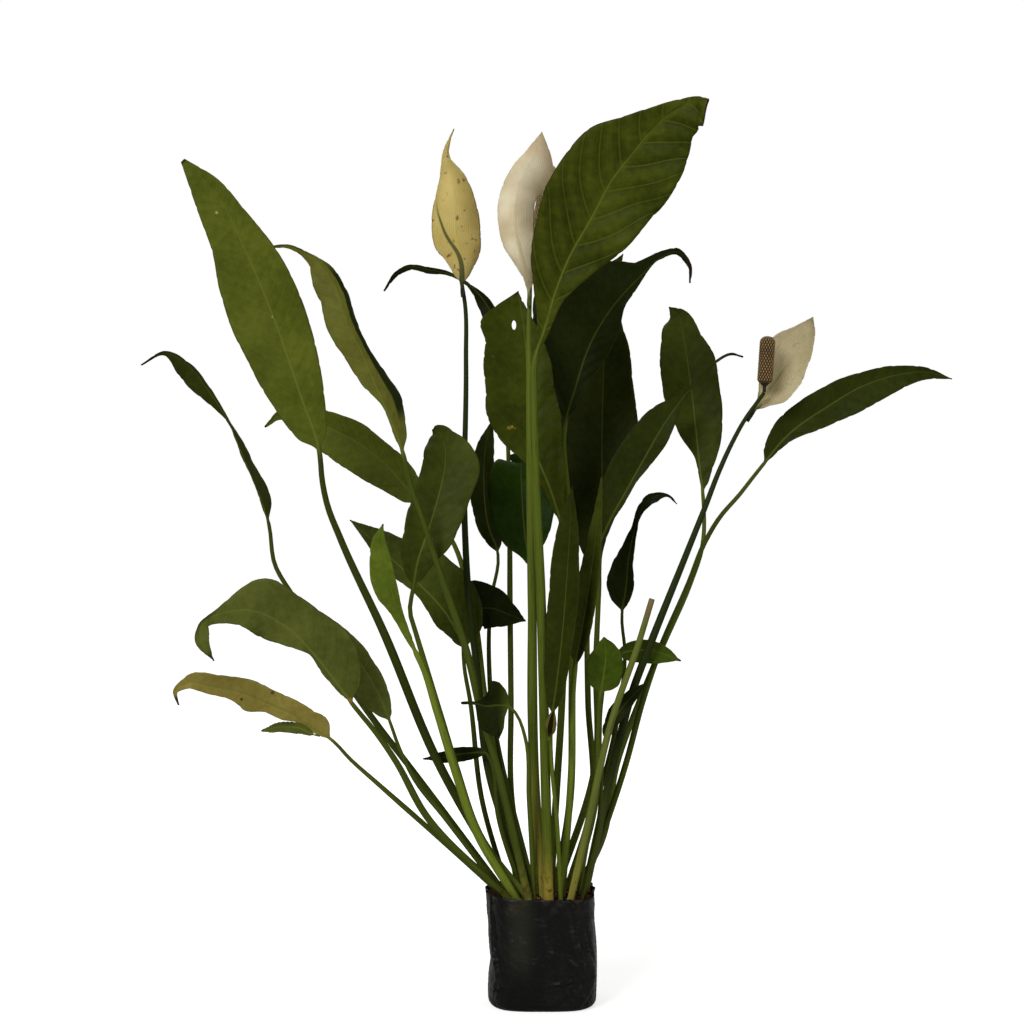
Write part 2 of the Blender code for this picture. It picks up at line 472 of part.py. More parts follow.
def build_bloom(name, root, stem, top, stalk, spathe_places, spathe, spadix, finishes):
    """One bloom: its green stalk, the spathe that rises beside the stalk's end, and the spadix: its
    top and the length of its bare neck."""
    route = stem_only(f"{name}_stalk", root, stem, top, finishes[0], stalk=stalk, sheath=0.5)
    places = np.array([seen(*place) for place in spathe_places])
    shape = {**LEAF, "stalk": (2.2, 1.7), "sheath": 0.5, "wave": 1.0, **spathe}
    chords = np.linalg.norm(np.diff(places, axis=0), axis=1)
    distances = chords[0] + (chords.sum() - chords[0]) * ring_shares(SPATHE_RINGS)
    upper, lower = sections(places, chords[0], np.concatenate(([0.0], distances)), shape, SPATHE_COLUMNS)
    loft(f"{name}_spathe", upper, lower, finishes[1])

    way = np.array(seen(*spadix[0])) - route[-1]
    length = np.linalg.norm(way)
    way /= length
    last = route[-1] - route[-2]
    lean = np.linalg.norm(np.cross(last / np.linalg.norm(last), way))
    start = GAP + stalk[1] * MM * lean
    neck = stalk[1] * MM * NECK_SHARE
    bare = start + spadix[1] * MM
    body = np.linspace(bare + SPADIX_SHOULDER, length - SPADIX_DOME * SPADIX_RADIUS, SPADIX_ROWS)
    rise = np.concatenate(([start, bare], body, [length]))
    widths = np.full(len(rise), SPADIX_RADIUS)
    widths[:3] = (neck, neck, SPADIX_FOOT * SPADIX_RADIUS)
    widths[-2:] *= SPADIX_TOP
    sideways = np.cross(way, (0.0, 1.0, 0.0))
    sideways /= np.linalg.norm(sideways)
    inward = np.cross(way, sideways)
    around = np.arange(SPADIX_SIDES) * 2.0 * math.pi / SPADIX_SIDES
    dent = (np.arange(len(rise))[:, None] + np.arange(SPADIX_SIDES)) % 2 * SPADIX_DENT
    dent[:2] = 0.0
    radius = widths[:, None] - dent
    rings = (route[-1] + rise[:, None, None] * way
             + (radius * np.cos(around))[..., None] * sideways
             + (radius * np.sin(around))[..., None] * inward)
    tube(f"{name}_spadix", rings, finishes[2])


def tube(name, rings, finish):
    """A closed solid through rings of points, with flat ends."""
    shape = bmesh.new()
    grid = [[shape.verts.new(p) for p in ring] for ring in rings]
    count = len(grid[0])
    for low, high in zip(grid, grid[1:]):
        for i in range(count):
            j = (i + 1) % count
            shape.faces.new((low[i], low[j], high[j], high[i]))
    shape.faces.new(grid[0][::-1])
    shape.faces.new(grid[-1])
    bmesh.ops.triangulate(shape, faces=shape.faces[:])
    bmesh.ops.recalc_face_normals(shape, faces=shape.faces[:])
    return add_object(name, shape, finish)


def build_blooms():
    """Three blooms, and the stub of a stalk that was cut."""
    green = material("flower_stalk", STALK_GREEN, 0.45)
    white = material("spathe_white", CREAM, 0.55)
    old = material("spathe_old", CREAM_OLD, 0.60)
    tan = material("spadix", SPADIX_TAN, 0.70)
    build_bloom("bloom_1", (-12, -4),
                [(-54, 229), (-66, 339), (-72, 386), (-77, 467), (-76, 639), (-77, 695)],
                (-81, 720, 8), (3.8, 2.0),
                [(-79, 702, 3.0), (-80, 712, 2.5), (-80, 726, -3), (-81, 745, -8), (-86, 767, -10),
                 (-87, 786, -10), (-90, 819, -6), (-96, 847, 4), (-93, 858, 8), (-88, 870, 12)],
                {"left": (2, 12, 22, 28, 27, 24, 19, 13, 5, 2, 0),
                 "right": (2, 12, 22, 28, 28, 25, 20, 13, 5, 2, 0),
                 "roll": 0, "fold": -6, "cup": -40, "drip": (0.12, 1.6)},
                ((-84, 782, 28), 5.0), (green, old, tan))
    build_bloom("bloom_2", (2, -28), [(-6, 199), (-10, 399), (-13, 599), (-13, 670)],
                (-12, 714, -40), (4.8, 2.2),
                [(-13, 693, -44.3), (-13, 703, -45.2), (-15, 718, -53), (-20, 742, -61), (-27, 774, -63),
                 (-24, 812, -58), (-8, 844, -48), (0, 867, -42)],
                {"left": (2, 3, 10, 16, 18, 19, 18, 15, 13, 8, 0),
                 "right": (2, 8, 14, 18, 20, 21, 23, 28, 31, 18, 0), "roll": 0, "fold": -6, "cup": -40},
                ((8, 834, -14), 18.0), (green, white, tan))
    build_bloom("bloom_3", (42, -3),
                [(76, 254), (91, 309), (108, 354), (144, 444), (162, 489), (178, 530), (191, 558),
                 (202, 578)],
                (222, 606, 20), (4.3, 1.9),
                [(205, 578, 23.1), (212, 588, 23.9), (222, 602, 31), (234, 619, 36), (250, 642, 38),
                 (263, 664, 37), (271, 682, 34)],
                {"left": (2, 5, 11, 20, 28, 33, 33, 28, 20, 11, 0),
                 "right": (2, 10, 21, 24, 25, 24, 20, 17, 13, 8, 0), "roll": 0, "fold": 6, "cup": 34},
                ((226, 663, 14), 8.0), (green, white, tan))
    stem_only("cut_stub", (27, -33), [(48, 185), (69, 276), (98, 360)], (110, 400, -60), green,
              stalk=(3.6, 3.0), sheath=0.5)


def bag_radius(angle, height):
    """Outer radius of the bag at an angle in radians and a height: a rounded square, nearly upright,
    rounded in to the base, fuller low down, with shallow upright folds and a few broad dents."""
    base = np.clip(height / BAG_BASE_ROUND, 0.0, 1.0)
    rounding = BAG_BASE_RADIUS + (BAG_RADIUS - BAG_BASE_RADIUS) * np.sqrt(1.0 - (1.0 - base) ** 2)
    square = np.abs(np.cos(angle)) ** BAG_SQUARE + np.abs(np.sin(angle)) ** BAG_SQUARE
    corner = square ** (-1.0 / BAG_SQUARE)
    share = height / BAG_HEIGHT
    wander = BAG_BELLY * np.sin(math.pi * np.clip(share * 1.4, 0.0, 1.0))
    wander = wander + BAG_FOLDS * share * (np.sin(5 * angle + 0.6) + 0.7 * np.sin(9 * angle + 2.0))
    for at_angle, at_height, depth, wide, high in BAG_DENTS:
        off = np.mod(angle - at_angle + math.pi, 2.0 * math.pi) - math.pi
        wander = wander + depth * np.exp(-(off / wide) ** 2 - ((height - at_height) / high) ** 2)
    return rounding * corner + wander * base


def rim_height(angle):
    """Height of the cut rim, which is not level."""
    return BAG_HEIGHT + RIM_WANDER * (0.6 * np.sin(2 * angle + 0.4) + 0.4 * np.sin(5 * angle + 1.7))


def ring_points(radii, angles, heights):
    """Points round the Z axis."""
    return np.stack((radii * np.cos(angles), radii * np.sin(angles), heights + 0.0 * angles), axis=-1)


def build_bag():
    """The bag: an open shell with a flat base, one film thickness all over."""
    angles = np.arange(BAG_SIDES) * 2.0 * math.pi / BAG_SIDES
    outer = [ring_points(bag_radius(angles, np.zeros(BAG_SIDES)), angles, 0.0)]
    inner = []
    for share in BAG_SHARES:
        height = BAG_BASE_ROUND + (rim_height(angles) - BAG_BASE_ROUND) * share
        outer.append(ring_points(bag_radius(angles, height), angles, height))
        inner.append(ring_points(bag_radius(angles, height) - BAG_FILM, angles, height))
    inner.insert(0, ring_points(bag_radius(angles, np.zeros(BAG_SIDES)) - BAG_FILM, angles, BAG_FILM))
    return tube("bag", np.array(outer + inner[::-1]), material("bag_film", FILM_BLACK, 0.35))


def build_soil():
    """The soil: it fills the bag, its face is lumpy, and each stalk stands in a plain hole."""
    angles = np.arange(BAG_SIDES) * 2.0 * math.pi / BAG_SIDES
    clear = BAG_FILM + GAP
    rings = [ring_points(bag_radius(angles, np.zeros(BAG_SIDES)) - clear, angles, clear)]
    for share in BAG_SHARES[:-2]:
        height = BAG_BASE_ROUND + (rim_height(angles) - BAG_BASE_ROUND) * share
        rings.append(ring_points(bag_radius(angles, height) - clear, angles, height))
    for inset in SOIL_RINGS:
        radius = (bag_radius(angles, SOIL_TOP * np.ones(BAG_SIDES)) - clear) * inset
        lumps = SOIL_LUMPS * np.sin(3 * angles + 7 * inset) * (1.0 - inset) * 2.0
        rings.append(ring_points(radius, angles, SOIL_TOP + SOIL_CROWN * (1.0 - inset**2) + lumps))
    soil = tube("soil", np.array(rings), material("soil", SOIL_BROWN, 0.95))

    punch = bmesh.new()
    turn = np.arange(HOLE_SIDES) * 2.0 * math.pi / HOLE_SIDES
    for foot, way, radius in holes:
        wide = (radius + GAP) / math.cos(math.pi / HOLE_SIDES)
        side = np.cross(way, (0.0, 1.0, 0.0))
        side /= np.linalg.norm(side)
        other = np.cross(way, side)
        circle = wide * (np.cos(turn)[:, None] * side + np.sin(turn)[:, None] * other)
        low = [punch.verts.new(foot - way * GAP + p) for p in circle]
        high = [punch.verts.new(foot + way * ROOT_DEPTH * HOLE_REACH + p) for p in circle]
        for i in range(HOLE_SIDES):
            j = (i + 1) % HOLE_SIDES
            punch.faces.new((low[i], low[j], high[j], high[i]))
        punch.faces.new(low[::-1])
        punch.faces.new(high)
    bmesh.ops.recalc_face_normals(punch, faces=punch.faces[:])
    cutter = add_object("hole_cutter", punch, material("soil", SOIL_BROWN, 0.95), smooth=False)
    cutter.hide_render = True
    cutter.display_type = "WIRE"
    cut = soil.modifiers.new("stalk_holes", "BOOLEAN")
    cut.operation = "DIFFERENCE"
    cut.solver = "EXACT"
    cut.object = cutter


def main():
    """Clear the scene and build the plant in its bag."""
    for old in list(bpy.data.objects):
        bpy.data.objects.remove(old, do_unlink=True)
    build_leaves()
    build_blooms()
    build_bag()
    build_soil()


main()
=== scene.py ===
# %% [markdown]
# # A peace lily in a black nursery bag
#
# The plant is about thirty leaves and three blooms that rise from the soil of one thin film bag.
# Its solids were made first, with few faces. Here each of them is replaced by a finer surface with
# the same form, and gets a finish of its own.
#
# The script is read from top to bottom. First come the frame, the camera and the light, then the
# small helpers for meshes and materials, and then the leaves, the blooms, the soil and the bag.

# %% Load the frame
import math

import bpy
import numpy as np
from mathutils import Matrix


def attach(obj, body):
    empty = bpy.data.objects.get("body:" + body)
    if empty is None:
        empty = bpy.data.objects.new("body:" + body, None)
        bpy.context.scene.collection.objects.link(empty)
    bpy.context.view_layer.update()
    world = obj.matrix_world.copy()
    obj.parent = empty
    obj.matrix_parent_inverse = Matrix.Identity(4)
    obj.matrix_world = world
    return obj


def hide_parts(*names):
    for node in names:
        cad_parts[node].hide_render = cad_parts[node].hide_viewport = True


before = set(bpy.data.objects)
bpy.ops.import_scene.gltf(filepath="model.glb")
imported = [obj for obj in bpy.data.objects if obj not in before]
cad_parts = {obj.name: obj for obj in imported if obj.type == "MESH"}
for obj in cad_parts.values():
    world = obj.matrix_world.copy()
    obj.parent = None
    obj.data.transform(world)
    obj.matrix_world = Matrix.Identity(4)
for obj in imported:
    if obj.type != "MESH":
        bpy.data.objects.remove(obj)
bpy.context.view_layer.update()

MM = 0.001

# %% [markdown]
# ## The camera
#
# The picture was taken level with the middle of the plant, from far enough away that the stalks
# look straight. A pixel is about a millimetre at the bag's middle, and the picture spans 1.024 m
# there, so at 1.9 m the lens is a 67 mm one on a 36 mm sensor. The same place is the eye from which
# the leaves are laid out below: a leaf's place is given as the eye sees it, with its depth apart.

# %% Camera
EYE = np.array((-0.030, -1.9, 0.487))
SENSOR = 36.0
PICTURE_SPAN = 1.024

lens = bpy.data.cameras.new("camera")
lens.sensor_width = SENSOR
lens.lens = SENSOR * -EYE[1] / PICTURE_SPAN
camera = bpy.data.objects.new("camera", lens)
camera.location = EYE
camera.rotation_euler = (math.radians(90.0), 0.0, 0.0)
bpy.context.scene.collection.objects.link(camera)
bpy.context.scene.camera = camera
print("lens in mm:", round(lens.lens, 1))

# %% [markdown]
# ## One small class for shader maths
#
# A procedural finish is mostly arithmetic on coordinates. Wiring Math nodes by hand hides that
# arithmetic, so `Wire` holds a socket and turns + - * / into Math nodes. Every other node comes
# from `node`, which sets the node's own settings first and then its sockets.

# %% Shader maths
class Wire:
    """A socket among a material's nodes. Arithmetic on it adds Math nodes to the same tree."""

    def __init__(self, tree, socket=None):
        self.tree = tree
        self.socket = socket

    def node(self, kind, settings=None, sockets=None, out=0):
        """Add a node: its settings by name, then a value or a wire for each socket."""
        made = self.tree.nodes.new(kind)
        for name, value in (settings or {}).items():
            setattr(made, name, value)
        for key, value in (sockets or {}).items():
            if isinstance(value, Wire):
                self.tree.links.new(value.socket, made.inputs[key])
            else:
                made.inputs[key].default_value = value
        return Wire(self.tree, made.outputs[out])

    def maths(self, operation, *values):
        return self.node("ShaderNodeMath", {"operation": operation}, dict(enumerate(values)))

    def __add__(self, other):
        return self.maths("ADD", self, other)

    def __sub__(self, other):
        return self.maths("SUBTRACT", self, other)

    def __rsub__(self, other):
        return self.maths("SUBTRACT", other, self)

    def __mul__(self, other):
        return self.maths("MULTIPLY", self, other)

    def __abs__(self):
        return self.maths("ABSOLUTE", self)

    __radd__ = __add__
    __rmul__ = __mul__

    def parts(self):
        """The three numbers of a vector wire."""
        split = self.node("ShaderNodeSeparateXYZ", None, {0: self}).socket.node
        return [Wire(self.tree, socket) for socket in split.outputs]

    def stretched(self, x, y, z):
        """A vector wire with each of its numbers multiplied."""
        return self.node("ShaderNodeVectorMath", {"operation": "MULTIPLY"}, {0: self, 1: (x, y, z)})

    def ease(self, low, high):
        """0 below low and 1 above high, with a smooth step between. Low may be the larger."""
        return self.node("ShaderNodeMapRange", {"interpolation_type": "SMOOTHSTEP"},
                         {"Value": self, "From Min": low, "From Max": high})

    def lines(self, spacing, width):
        """1 on evenly spaced lines, fading to 0 at width from them. The wire is a distance."""
        return self.maths("PINGPONG", self, spacing / 2.0).ease(width, 0.0)

    def noise(self, scale, detail=3.0):
        """Clouds about 0.5 over a vector wire, with scale clouds to the unit."""
        return self.node("ShaderNodeTexNoise", None, {"Vector": self, "Scale": scale, "Detail": detail})

    def spots(self, scale, size):
        """1 in round spots of about size, one in each cell of a vector wire, and 0 elsewhere."""
        cells = self.node("ShaderNodeTexVoronoi", None, {"Vector": self, "Scale": scale})
        return cells.ease(size, size * 0.4)

    def near(self, x, y, z, radius):
        """1 around one place of a vector wire, fading to 0 at radius from it."""
        away = self.node("ShaderNodeVectorMath", {"operation": "DISTANCE"}, {0: self, 1: (x, y, z)}, out=1)
        return away.ease(radius, radius * 0.45)

    def blend(self, colour, other):
        """From colour to other by this wire, 0 to 1. Each of them is a tuple or a wire."""
        full = [(*c, 1.0) if isinstance(c, tuple) else c for c in (colour, other)]
        return self.node("ShaderNodeMix", {"data_type": "RGBA"}, {0: self, 6: full[0], 7: full[1]}, out=2)


print("a wire can:", ", ".join(name for name in vars(Wire) if not name.startswith("_")))


# %% Colours and finishes
def paint(red, green, blue):
    """A colour from a paint chart, 0 to 255, as the shader's linear values."""
    share = np.array((red, green, blue)) / 255.0
    linear = np.where(share <= 0.04045, share / 12.92, ((share + 0.055) / 1.055) ** 2.4)
    return tuple(float(v) for v in linear)


def new_finish(name, **constants):
    """A Principled material with some constant sockets: itself, its shader and a wire to start from."""
    finish = bpy.data.materials.new(name)
    finish.use_nodes = True
    shader = finish.node_tree.nodes["Principled BSDF"]
    for socket, value in constants.items():
        shader.inputs[socket.replace("_", " ")].default_value = value
    return finish, shader, Wire(finish.node_tree)


def feed(shader, **wires):
    """Link wires to sockets of the shader."""
    for socket, wire in wires.items():
        wire.tree.links.new(wire.socket, shader.inputs[socket.replace("_", " ")])


def bump(height, depth, strength=1.0):
    """A normal that leans with the slope of height, for a relief of depth metres."""
    return height.node("ShaderNodeBump", None, {"Height": height, "Distance": depth, "Strength": strength})


def carried(start, name):
    """A value that the mesh carries at each of its corners, as three wires."""
    return start.node("ShaderNodeAttribute", {"attribute_name": name}, out=1).parts()


def own_place(start):
    """Where a point of the surface is on the object, in metres."""
    return start.node("ShaderNodeTexCoord", out=3)


print("a chart's middle grey, 128, is", round(paint(128, 128, 128)[0], 3), "to the shader")

# %% [markdown]
# ## Floor, background and light
#
# The plant is shown on plain white. The floor is a pale disc whose far part glows as brightly as
# the background, so that no horizon shows. The background is white to the camera only: a white room
# on all sides would wash every shadow out of the leaves, so the light that falls on them from it is
# much weaker. A large soft lamp at the front left gives the leaves their form, and a wide weak one
# from the right keeps the dark side open.

# %% Floor, background and light
FLOOR_RADIUS = 9.0
FLOOR_SIDES = 96
ROOM_LIGHT = 0.12               # how bright the room is to everything but the camera

bpy.context.scene.view_settings.view_transform = "Standard"

turn = np.arange(FLOOR_SIDES) * 2.0 * math.pi / FLOOR_SIDES
floor_rim = np.stack((np.cos(turn), np.sin(turn), 0.0 * turn), axis=-1) * FLOOR_RADIUS
floor_mesh = bpy.data.meshes.new("floor")
floor_mesh.from_pydata(floor_rim.tolist(), [], [list(range(FLOOR_SIDES))])
floor = bpy.data.objects.new("floor", floor_mesh)
bpy.context.scene.collection.objects.link(floor)
finish, shader, start = new_finish("floor_white", Base_Color=(*paint(206, 206, 204), 1.0), Roughness=0.9,
                                   Specular_IOR_Level=0.05, Emission_Strength=1.0)
place = own_place(start)
middle = place.node("ShaderNodeVectorMath", {"operation": "LENGTH"}, {0: place}, out=1)
glow = (middle.ease(0.10, 1.30) * 0.32 + 0.68) * start.node("ShaderNodeLightPath")
feed(shader, Emission_Color=glow.blend((0.0, 0.0, 0.0), (1.0, 1.0, 1.0)))
floor_mesh.materials.append(finish)

room = bpy.data.worlds.new("room")
room.use_nodes = True
bpy.context.scene.world = room
room_start = Wire(room.node_tree)
to_camera = room_start.node("ShaderNodeLightPath")
backdrop = room_start.node("ShaderNodeBackground", None,
                           {"Color": (1.0, 1.0, 1.0, 1.0),
                            "Strength": to_camera * (1.0 - ROOM_LIGHT) + ROOM_LIGHT})
room.node_tree.links.new(backdrop.socket, room.node_tree.nodes["World Output"].inputs["Surface"])


def softbox(name, place, aim, size, power):
    """A square lamp of a size in metres and a power in watts, at place, that faces aim."""
    light = bpy.data.lights.new(name, "AREA")
    light.shape = "SQUARE"
    light.size = size
    light.energy = power
    lamp = bpy.data.objects.new(name, light)
    lamp.location = place
    way = np.array(place) - np.array(aim)
    lamp.rotation_euler = (math.acos(way[2] / np.linalg.norm(way)), 0.0, math.atan2(way[0], -way[1]))
    bpy.context.scene.collection.objects.link(lamp)


softbox("key", (-1.4, -2.2, 2.0), (0.0, 0.0, 0.45), 1.3, 62.0)
softbox("fill", (1.9, -1.8, 1.2), (0.0, 0.0, 0.45), 1.8, 20.0)
softbox("top", (0.2, 0.9, 2.6), (0.0, 0.0, 0.4), 1.4, 22.0)
print("lamps:", len(bpy.data.lights))

# %% [markdown]
# ## A grid that becomes a closed sheet
#
# A leaf is a sheet less than a millimetre thick, and so is a spathe. The common way is to model one
# face and let Solidify thicken it. Here both faces are worked out by formula, because a leaf goes
# over into its round stalk, where its two faces bulge apart. The two faces are grids of the same
# size. `sheet_faces` joins them with walls wherever the sheet ends, also around a hole in it.
#
# Every piece carries numbers on its corners, for its finish: `spot` tells how far across and along
# the leaf a point is, in millimetres, and `share` tells the same from 0 to 1. `own` is the same all
# over one leaf: how bright its stalk is, how far apart its side veins are, and how much of its tip
# is dry.

# %% Sheets and tubes
def sheet_faces(rows, columns, keep):
    """Four-sided faces of a closed sheet, where keep says which cells of the grid it has.

    The upper face runs over the kept cells, the lower face is the same turned round, and a wall
    joins the two along every edge with a kept cell on one side only.
    """
    top = np.arange(rows * columns).reshape(rows, columns)
    low = top + rows * columns
    upper = np.stack((top[:-1, :-1], top[:-1, 1:], top[1:, 1:], top[1:, :-1]), axis=-1)[keep]
    side_wall = np.stack((low[:-1], top[:-1], top[1:], low[1:]), axis=-1)
    end_wall = np.stack((top[:, :-1], low[:, :-1], low[:, 1:], top[:, 1:]), axis=-1)
    ringed = np.pad(keep, 1).astype(int)
    side_step = np.diff(ringed[1:-1], axis=1)
    end_step = np.diff(ringed[:, 1:-1], axis=0)
    return np.concatenate((upper, upper[:, ::-1] + rows * columns,
                           side_wall[side_step > 0], side_wall[side_step < 0][:, ::-1],
                           end_wall[end_step > 0], end_wall[end_step < 0][:, ::-1]))


def tube_faces(rows, columns):
    """Faces of a closed tube: a grid whose last column meets its first, and a flat face at each end."""
    low = np.arange((rows - 1) * columns).reshape(rows - 1, columns)
    beside = np.roll(low, -1, axis=1)
    around = np.stack((low, beside, beside + columns, low + columns), axis=-1).reshape(-1, 4)
    first = list(range(columns))
    return [first[::-1], *around.tolist(), [columns * (rows - 1) + i for i in first]]


def add_piece(name, points, faces, finish, node, carries=None):
    """A finished mesh object on the root body: its numbers, its material and the node it stands for."""
    faces = list(faces)
    sizes = np.array([len(face) for face in faces])
    used, corner = np.unique(np.concatenate(faces), return_inverse=True)
    ends = np.cumsum(sizes)
    mesh = bpy.data.meshes.new(name)
    mesh.from_pydata(points[used].tolist(), [], [face.tolist() for face in np.split(corner, ends[:-1])])
    for attribute, values in (carries or {}).items():
        layer = mesh.attributes.new(attribute, "FLOAT_VECTOR", "POINT")
        layer.data.foreach_set("vector", values[used].astype(np.float32).ravel())
    mesh.shade_smooth()
    mesh.materials.append(finish)
    piece = bpy.data.objects.new(name, mesh)
    bpy.context.scene.collection.objects.link(piece)
    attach(piece, "root")
    if node:
        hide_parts(node)
    print(name, "has", len(faces), "faces")
    return piece


print("faces of a sheet of 3 by 3 cells:", len(sheet_faces(4, 4, np.ones((3, 3), dtype=bool))))

# %% [markdown]
# ## The route of a leaf
#
# A leaf is drawn along a route that starts at the stalk's foot and ends at the blade's tip. A few
# places are enough, because a smooth curve goes through them. They are given as the eye sees them:
# millimetres to the right of the bag's middle, millimetres up from the floor, and how far behind the
# bag's middle the place lies. A place with more depth is moved along the line of sight, so it still
# shows at the same spot of the picture.

# %% Places and routes
SOIL_TOP = 0.104                # height of the soil's face
ROOT_DEPTH = 0.009              # how deep a stalk stands in it


def seen(across, up, back):
    """A point that the eye sees at (across, up) mm on the plane through the bag's middle, and that
    lies back mm behind that plane."""
    flat = np.array((across, 0.0, up)) * MM
    return EYE + (flat - EYE) * (1.0 + back * MM / -EYE[1])


def as_seen(points):
    """The reverse of seen: how far right and up points show, in mm on the plane y = 0."""
    line = points - EYE
    shown = EYE + line * (-EYE[1] / line[..., 1:2])
    return shown[..., 0] / MM, shown[..., 2] / MM


print("a place 100 mm behind the bag still shows at:", as_seen(seen(50.0, 400.0, 100.0)))


# %% A smooth curve through places
def cubic(u):
    """The weights of a cubic stretch at u from 0 to 1: its start, its slope there, its end and its
    slope there."""
    return 2 * u**3 - 3 * u**2 + 1, u**3 - 2 * u**2 + u, 3 * u**2 - 2 * u**3, u**3 - u**2


def curve_at(points, distances):
    """Places and directions on a smooth curve through points, at distances along its chords.

    Each stretch is a cubic whose end slopes are the weighted mean of the chords that meet there.
    """
    chords = np.diff(points, axis=0)
    steps = np.linalg.norm(chords, axis=1)
    knots = np.concatenate(([0.0], np.cumsum(steps)))
    slopes = chords / steps[:, None]
    ends = np.vstack((slopes[:1], slopes, slopes[-1:]))
    before = np.concatenate((steps[:1], steps))[:, None]
    after = np.concatenate((steps, steps[-1:]))[:, None]
    tangents = (ends[:-1] * after + ends[1:] * before) / (before + after)
    place = np.clip(np.searchsorted(knots, distances, side="right") - 1, 0, len(steps) - 1)
    step = steps[place][:, None]
    u = ((distances - knots[place]) / steps[place])[:, None]
    start, stop = points[place], points[place + 1]
    leave, arrive = tangents[place] * step, tangents[place + 1] * step
    at_start, at_leave, at_stop, at_arrive = cubic(u)
    spots = at_start * start + at_leave * leave + at_stop * stop + at_arrive * arrive
    ways = ((6 * u**2 - 6 * u) * (start - stop) + (3 * u**2 - 4 * u + 1) * leave
            + (3 * u**2 - 2 * u) * arrive)
    return spots, ways / np.linalg.norm(ways, axis=1)[:, None]


def stalk_route(root, stem, base):
    """A stalk's foot in the soil, its place at the soil's face and its places as seen, whose depth
    changes evenly with height from the root to the blade's base."""
    ground = np.array((root[0] * MM, root[1] * MM, SOIL_TOP))
    points = []
    for across, up in stem:
        rise = (up * MM - SOIL_TOP) / (base[1] * MM - SOIL_TOP)
        points.append(seen(across, up, root[1] + (base[2] - root[1]) * rise))
    first = points[0] if points else seen(*base)
    way = (first - ground) / np.linalg.norm(first - ground)
    return [ground - way * ROOT_DEPTH, ground, *points]


print("weights halfway along a stretch:", cubic(0.5))

# %% [markdown]
# ## The surface of a leaf
#
# The blade of a peace lily is a long pointed oval. Its halves rise a little from the midrib, like a
# shallow keel, and curve back down to the margin. Between the side veins the skin puffs up, which
# gives the quilted look, and the margin waves. All of this is a height over a flat blade, so one
# formula of two parameters makes every leaf: t runs from the blade's base to its tip, and x from
# -1 at the left margin to 1 at the right one.
#
# Below the blade the same grid is wrapped round: x becomes an angle, and the two faces are the front
# and back halves of a round stalk. The change takes the first few millimetres of the blade.
#
# `LEAF` holds what most leaves share, and a leaf's row changes what is its own. Left and right are
# half widths in mm, `stalk` is the stalk's radius at the soil and at the blade, and `sheath` is the
# share of its height that stays thick. `fullest` and `fullness` shape a plain oval. `roll` turns the
# blade round its midrib, `fold` lifts its halves and `cup` bends them back, all in degrees. `wave` is
# the height of the margin's waves in mm, `waves` is their number, and `offset` shifts the right
# margin's. `drip` is the thread at the tip: its share of the blade and its half width. `veins` is the
# distance between side veins, `quilt` is how far the skin puffs up and `ragged` how deep the margin's
# notches are, in mm. `tone` is the stalk's brightness, and `dry` the share of the tip that is dry.

# %% What leaves have in common
EDGE_HALF = 0.00030             # half thickness at the margin
BLADE_HALF = 0.00036            # half thickness beside the midrib
RIB_HALF = 0.00050              # least half thickness of the midrib
RIB_TAPER = 1.3                 # power by which the midrib thins to the tip
RIB_NARROWS = 0.45              # share by which the midrib is narrower than the stalk
RIB_SPREAD = (0.9, 0.4)         # reach of the midrib's swelling: a share of its width, plus mm
FRONT_RIB = 0.25                # share of the midrib that stands out on the front
TIP_HALF_WIDTH = 0.0005
OPENS_BY = 0.07                 # share of the blade over which the round stalk turns flat
HALF_TURN = 75.0                # degrees that each face of a stalk covers either side of its middle
RIB_CROWDING = 0.6              # how much closer the columns lie at the midrib
SHEATH_SHARE = 0.9              # of a stalk's thickness at the soil, kept up to its sheath's end
VEIN_ANGLE = 0.8                # slope of a side vein at the midrib
VEIN_BEND = 10.0                # how fast it bends to the tip, per metre
QUILT_WIDTH = 0.012             # half width from which the skin puffs up in full
SWELLS = (1.0, 2.3, 4.1)        # slow unevenness of the width: its waves, their pace and their share
SWELL_PACE = 7.0
SWELL_SHARE = 0.013
RIPPLES = (2.3, 3.7)            # quick waves of the margin for each slow one, and their share
RIPPLE_SHARE = 0.22
MARGIN_NOTCHES = (23.0, 9.7)    # waves of a ragged margin along the blade
LEAF = {"left": 1, "right": 1, "stalk": (3.6, 2.2), "sheath": 0.60, "fullest": 0.45, "fullness": 0.72,
        "roll": 0, "fold": 8, "cup": 12, "wave": 2.0, "waves": 3.0, "offset": 0.37, "drip": (0.04, 1.5),
        "veins": 16.0, "quilt": 0.7, "ragged": 0.7, "hole": None, "columns": 27, "row": 0.003,
        "tone": 0.45, "dry": 0.02}
print("what a leaf's row may set:", ", ".join(LEAF))


# %% How wide a blade is
def outline(t, fullest, fullness):
    """Half width along a blade, 1 at its fullest: a power of t from the base times a power of
    1 - t to the tip, which makes a rounded base and a drawn-out point."""
    rise = fullness
    fall = fullness * (1.0 - fullest) / fullest
    inside = np.clip(t, 0.0, 1.0)
    return (inside / fullest) ** rise * ((1.0 - inside) / (1.0 - fullest)) ** fall


def half_width(given, t, shape):
    """Half width along a blade in mm: given at even steps from its base to its tip and joined
    smoothly, or as one number, the widest of a plain oval."""
    if np.ndim(given) == 0:
        return given * outline(t / (1.0 - shape["drip"][0]), shape["fullest"], shape["fullness"])
    listed = np.asarray(given, dtype=float)
    slopes = np.gradient(listed)
    steps = t * (len(listed) - 1)
    place = np.clip(steps.astype(int), 0, len(listed) - 2)
    u = steps - place
    at_start, at_leave, at_stop, at_arrive = cubic(u)
    wide = (at_start * listed[place] + at_leave * slopes[place]
            + at_stop * listed[place + 1] + at_arrive * slopes[place + 1])
    return np.maximum(wide, 0.0)


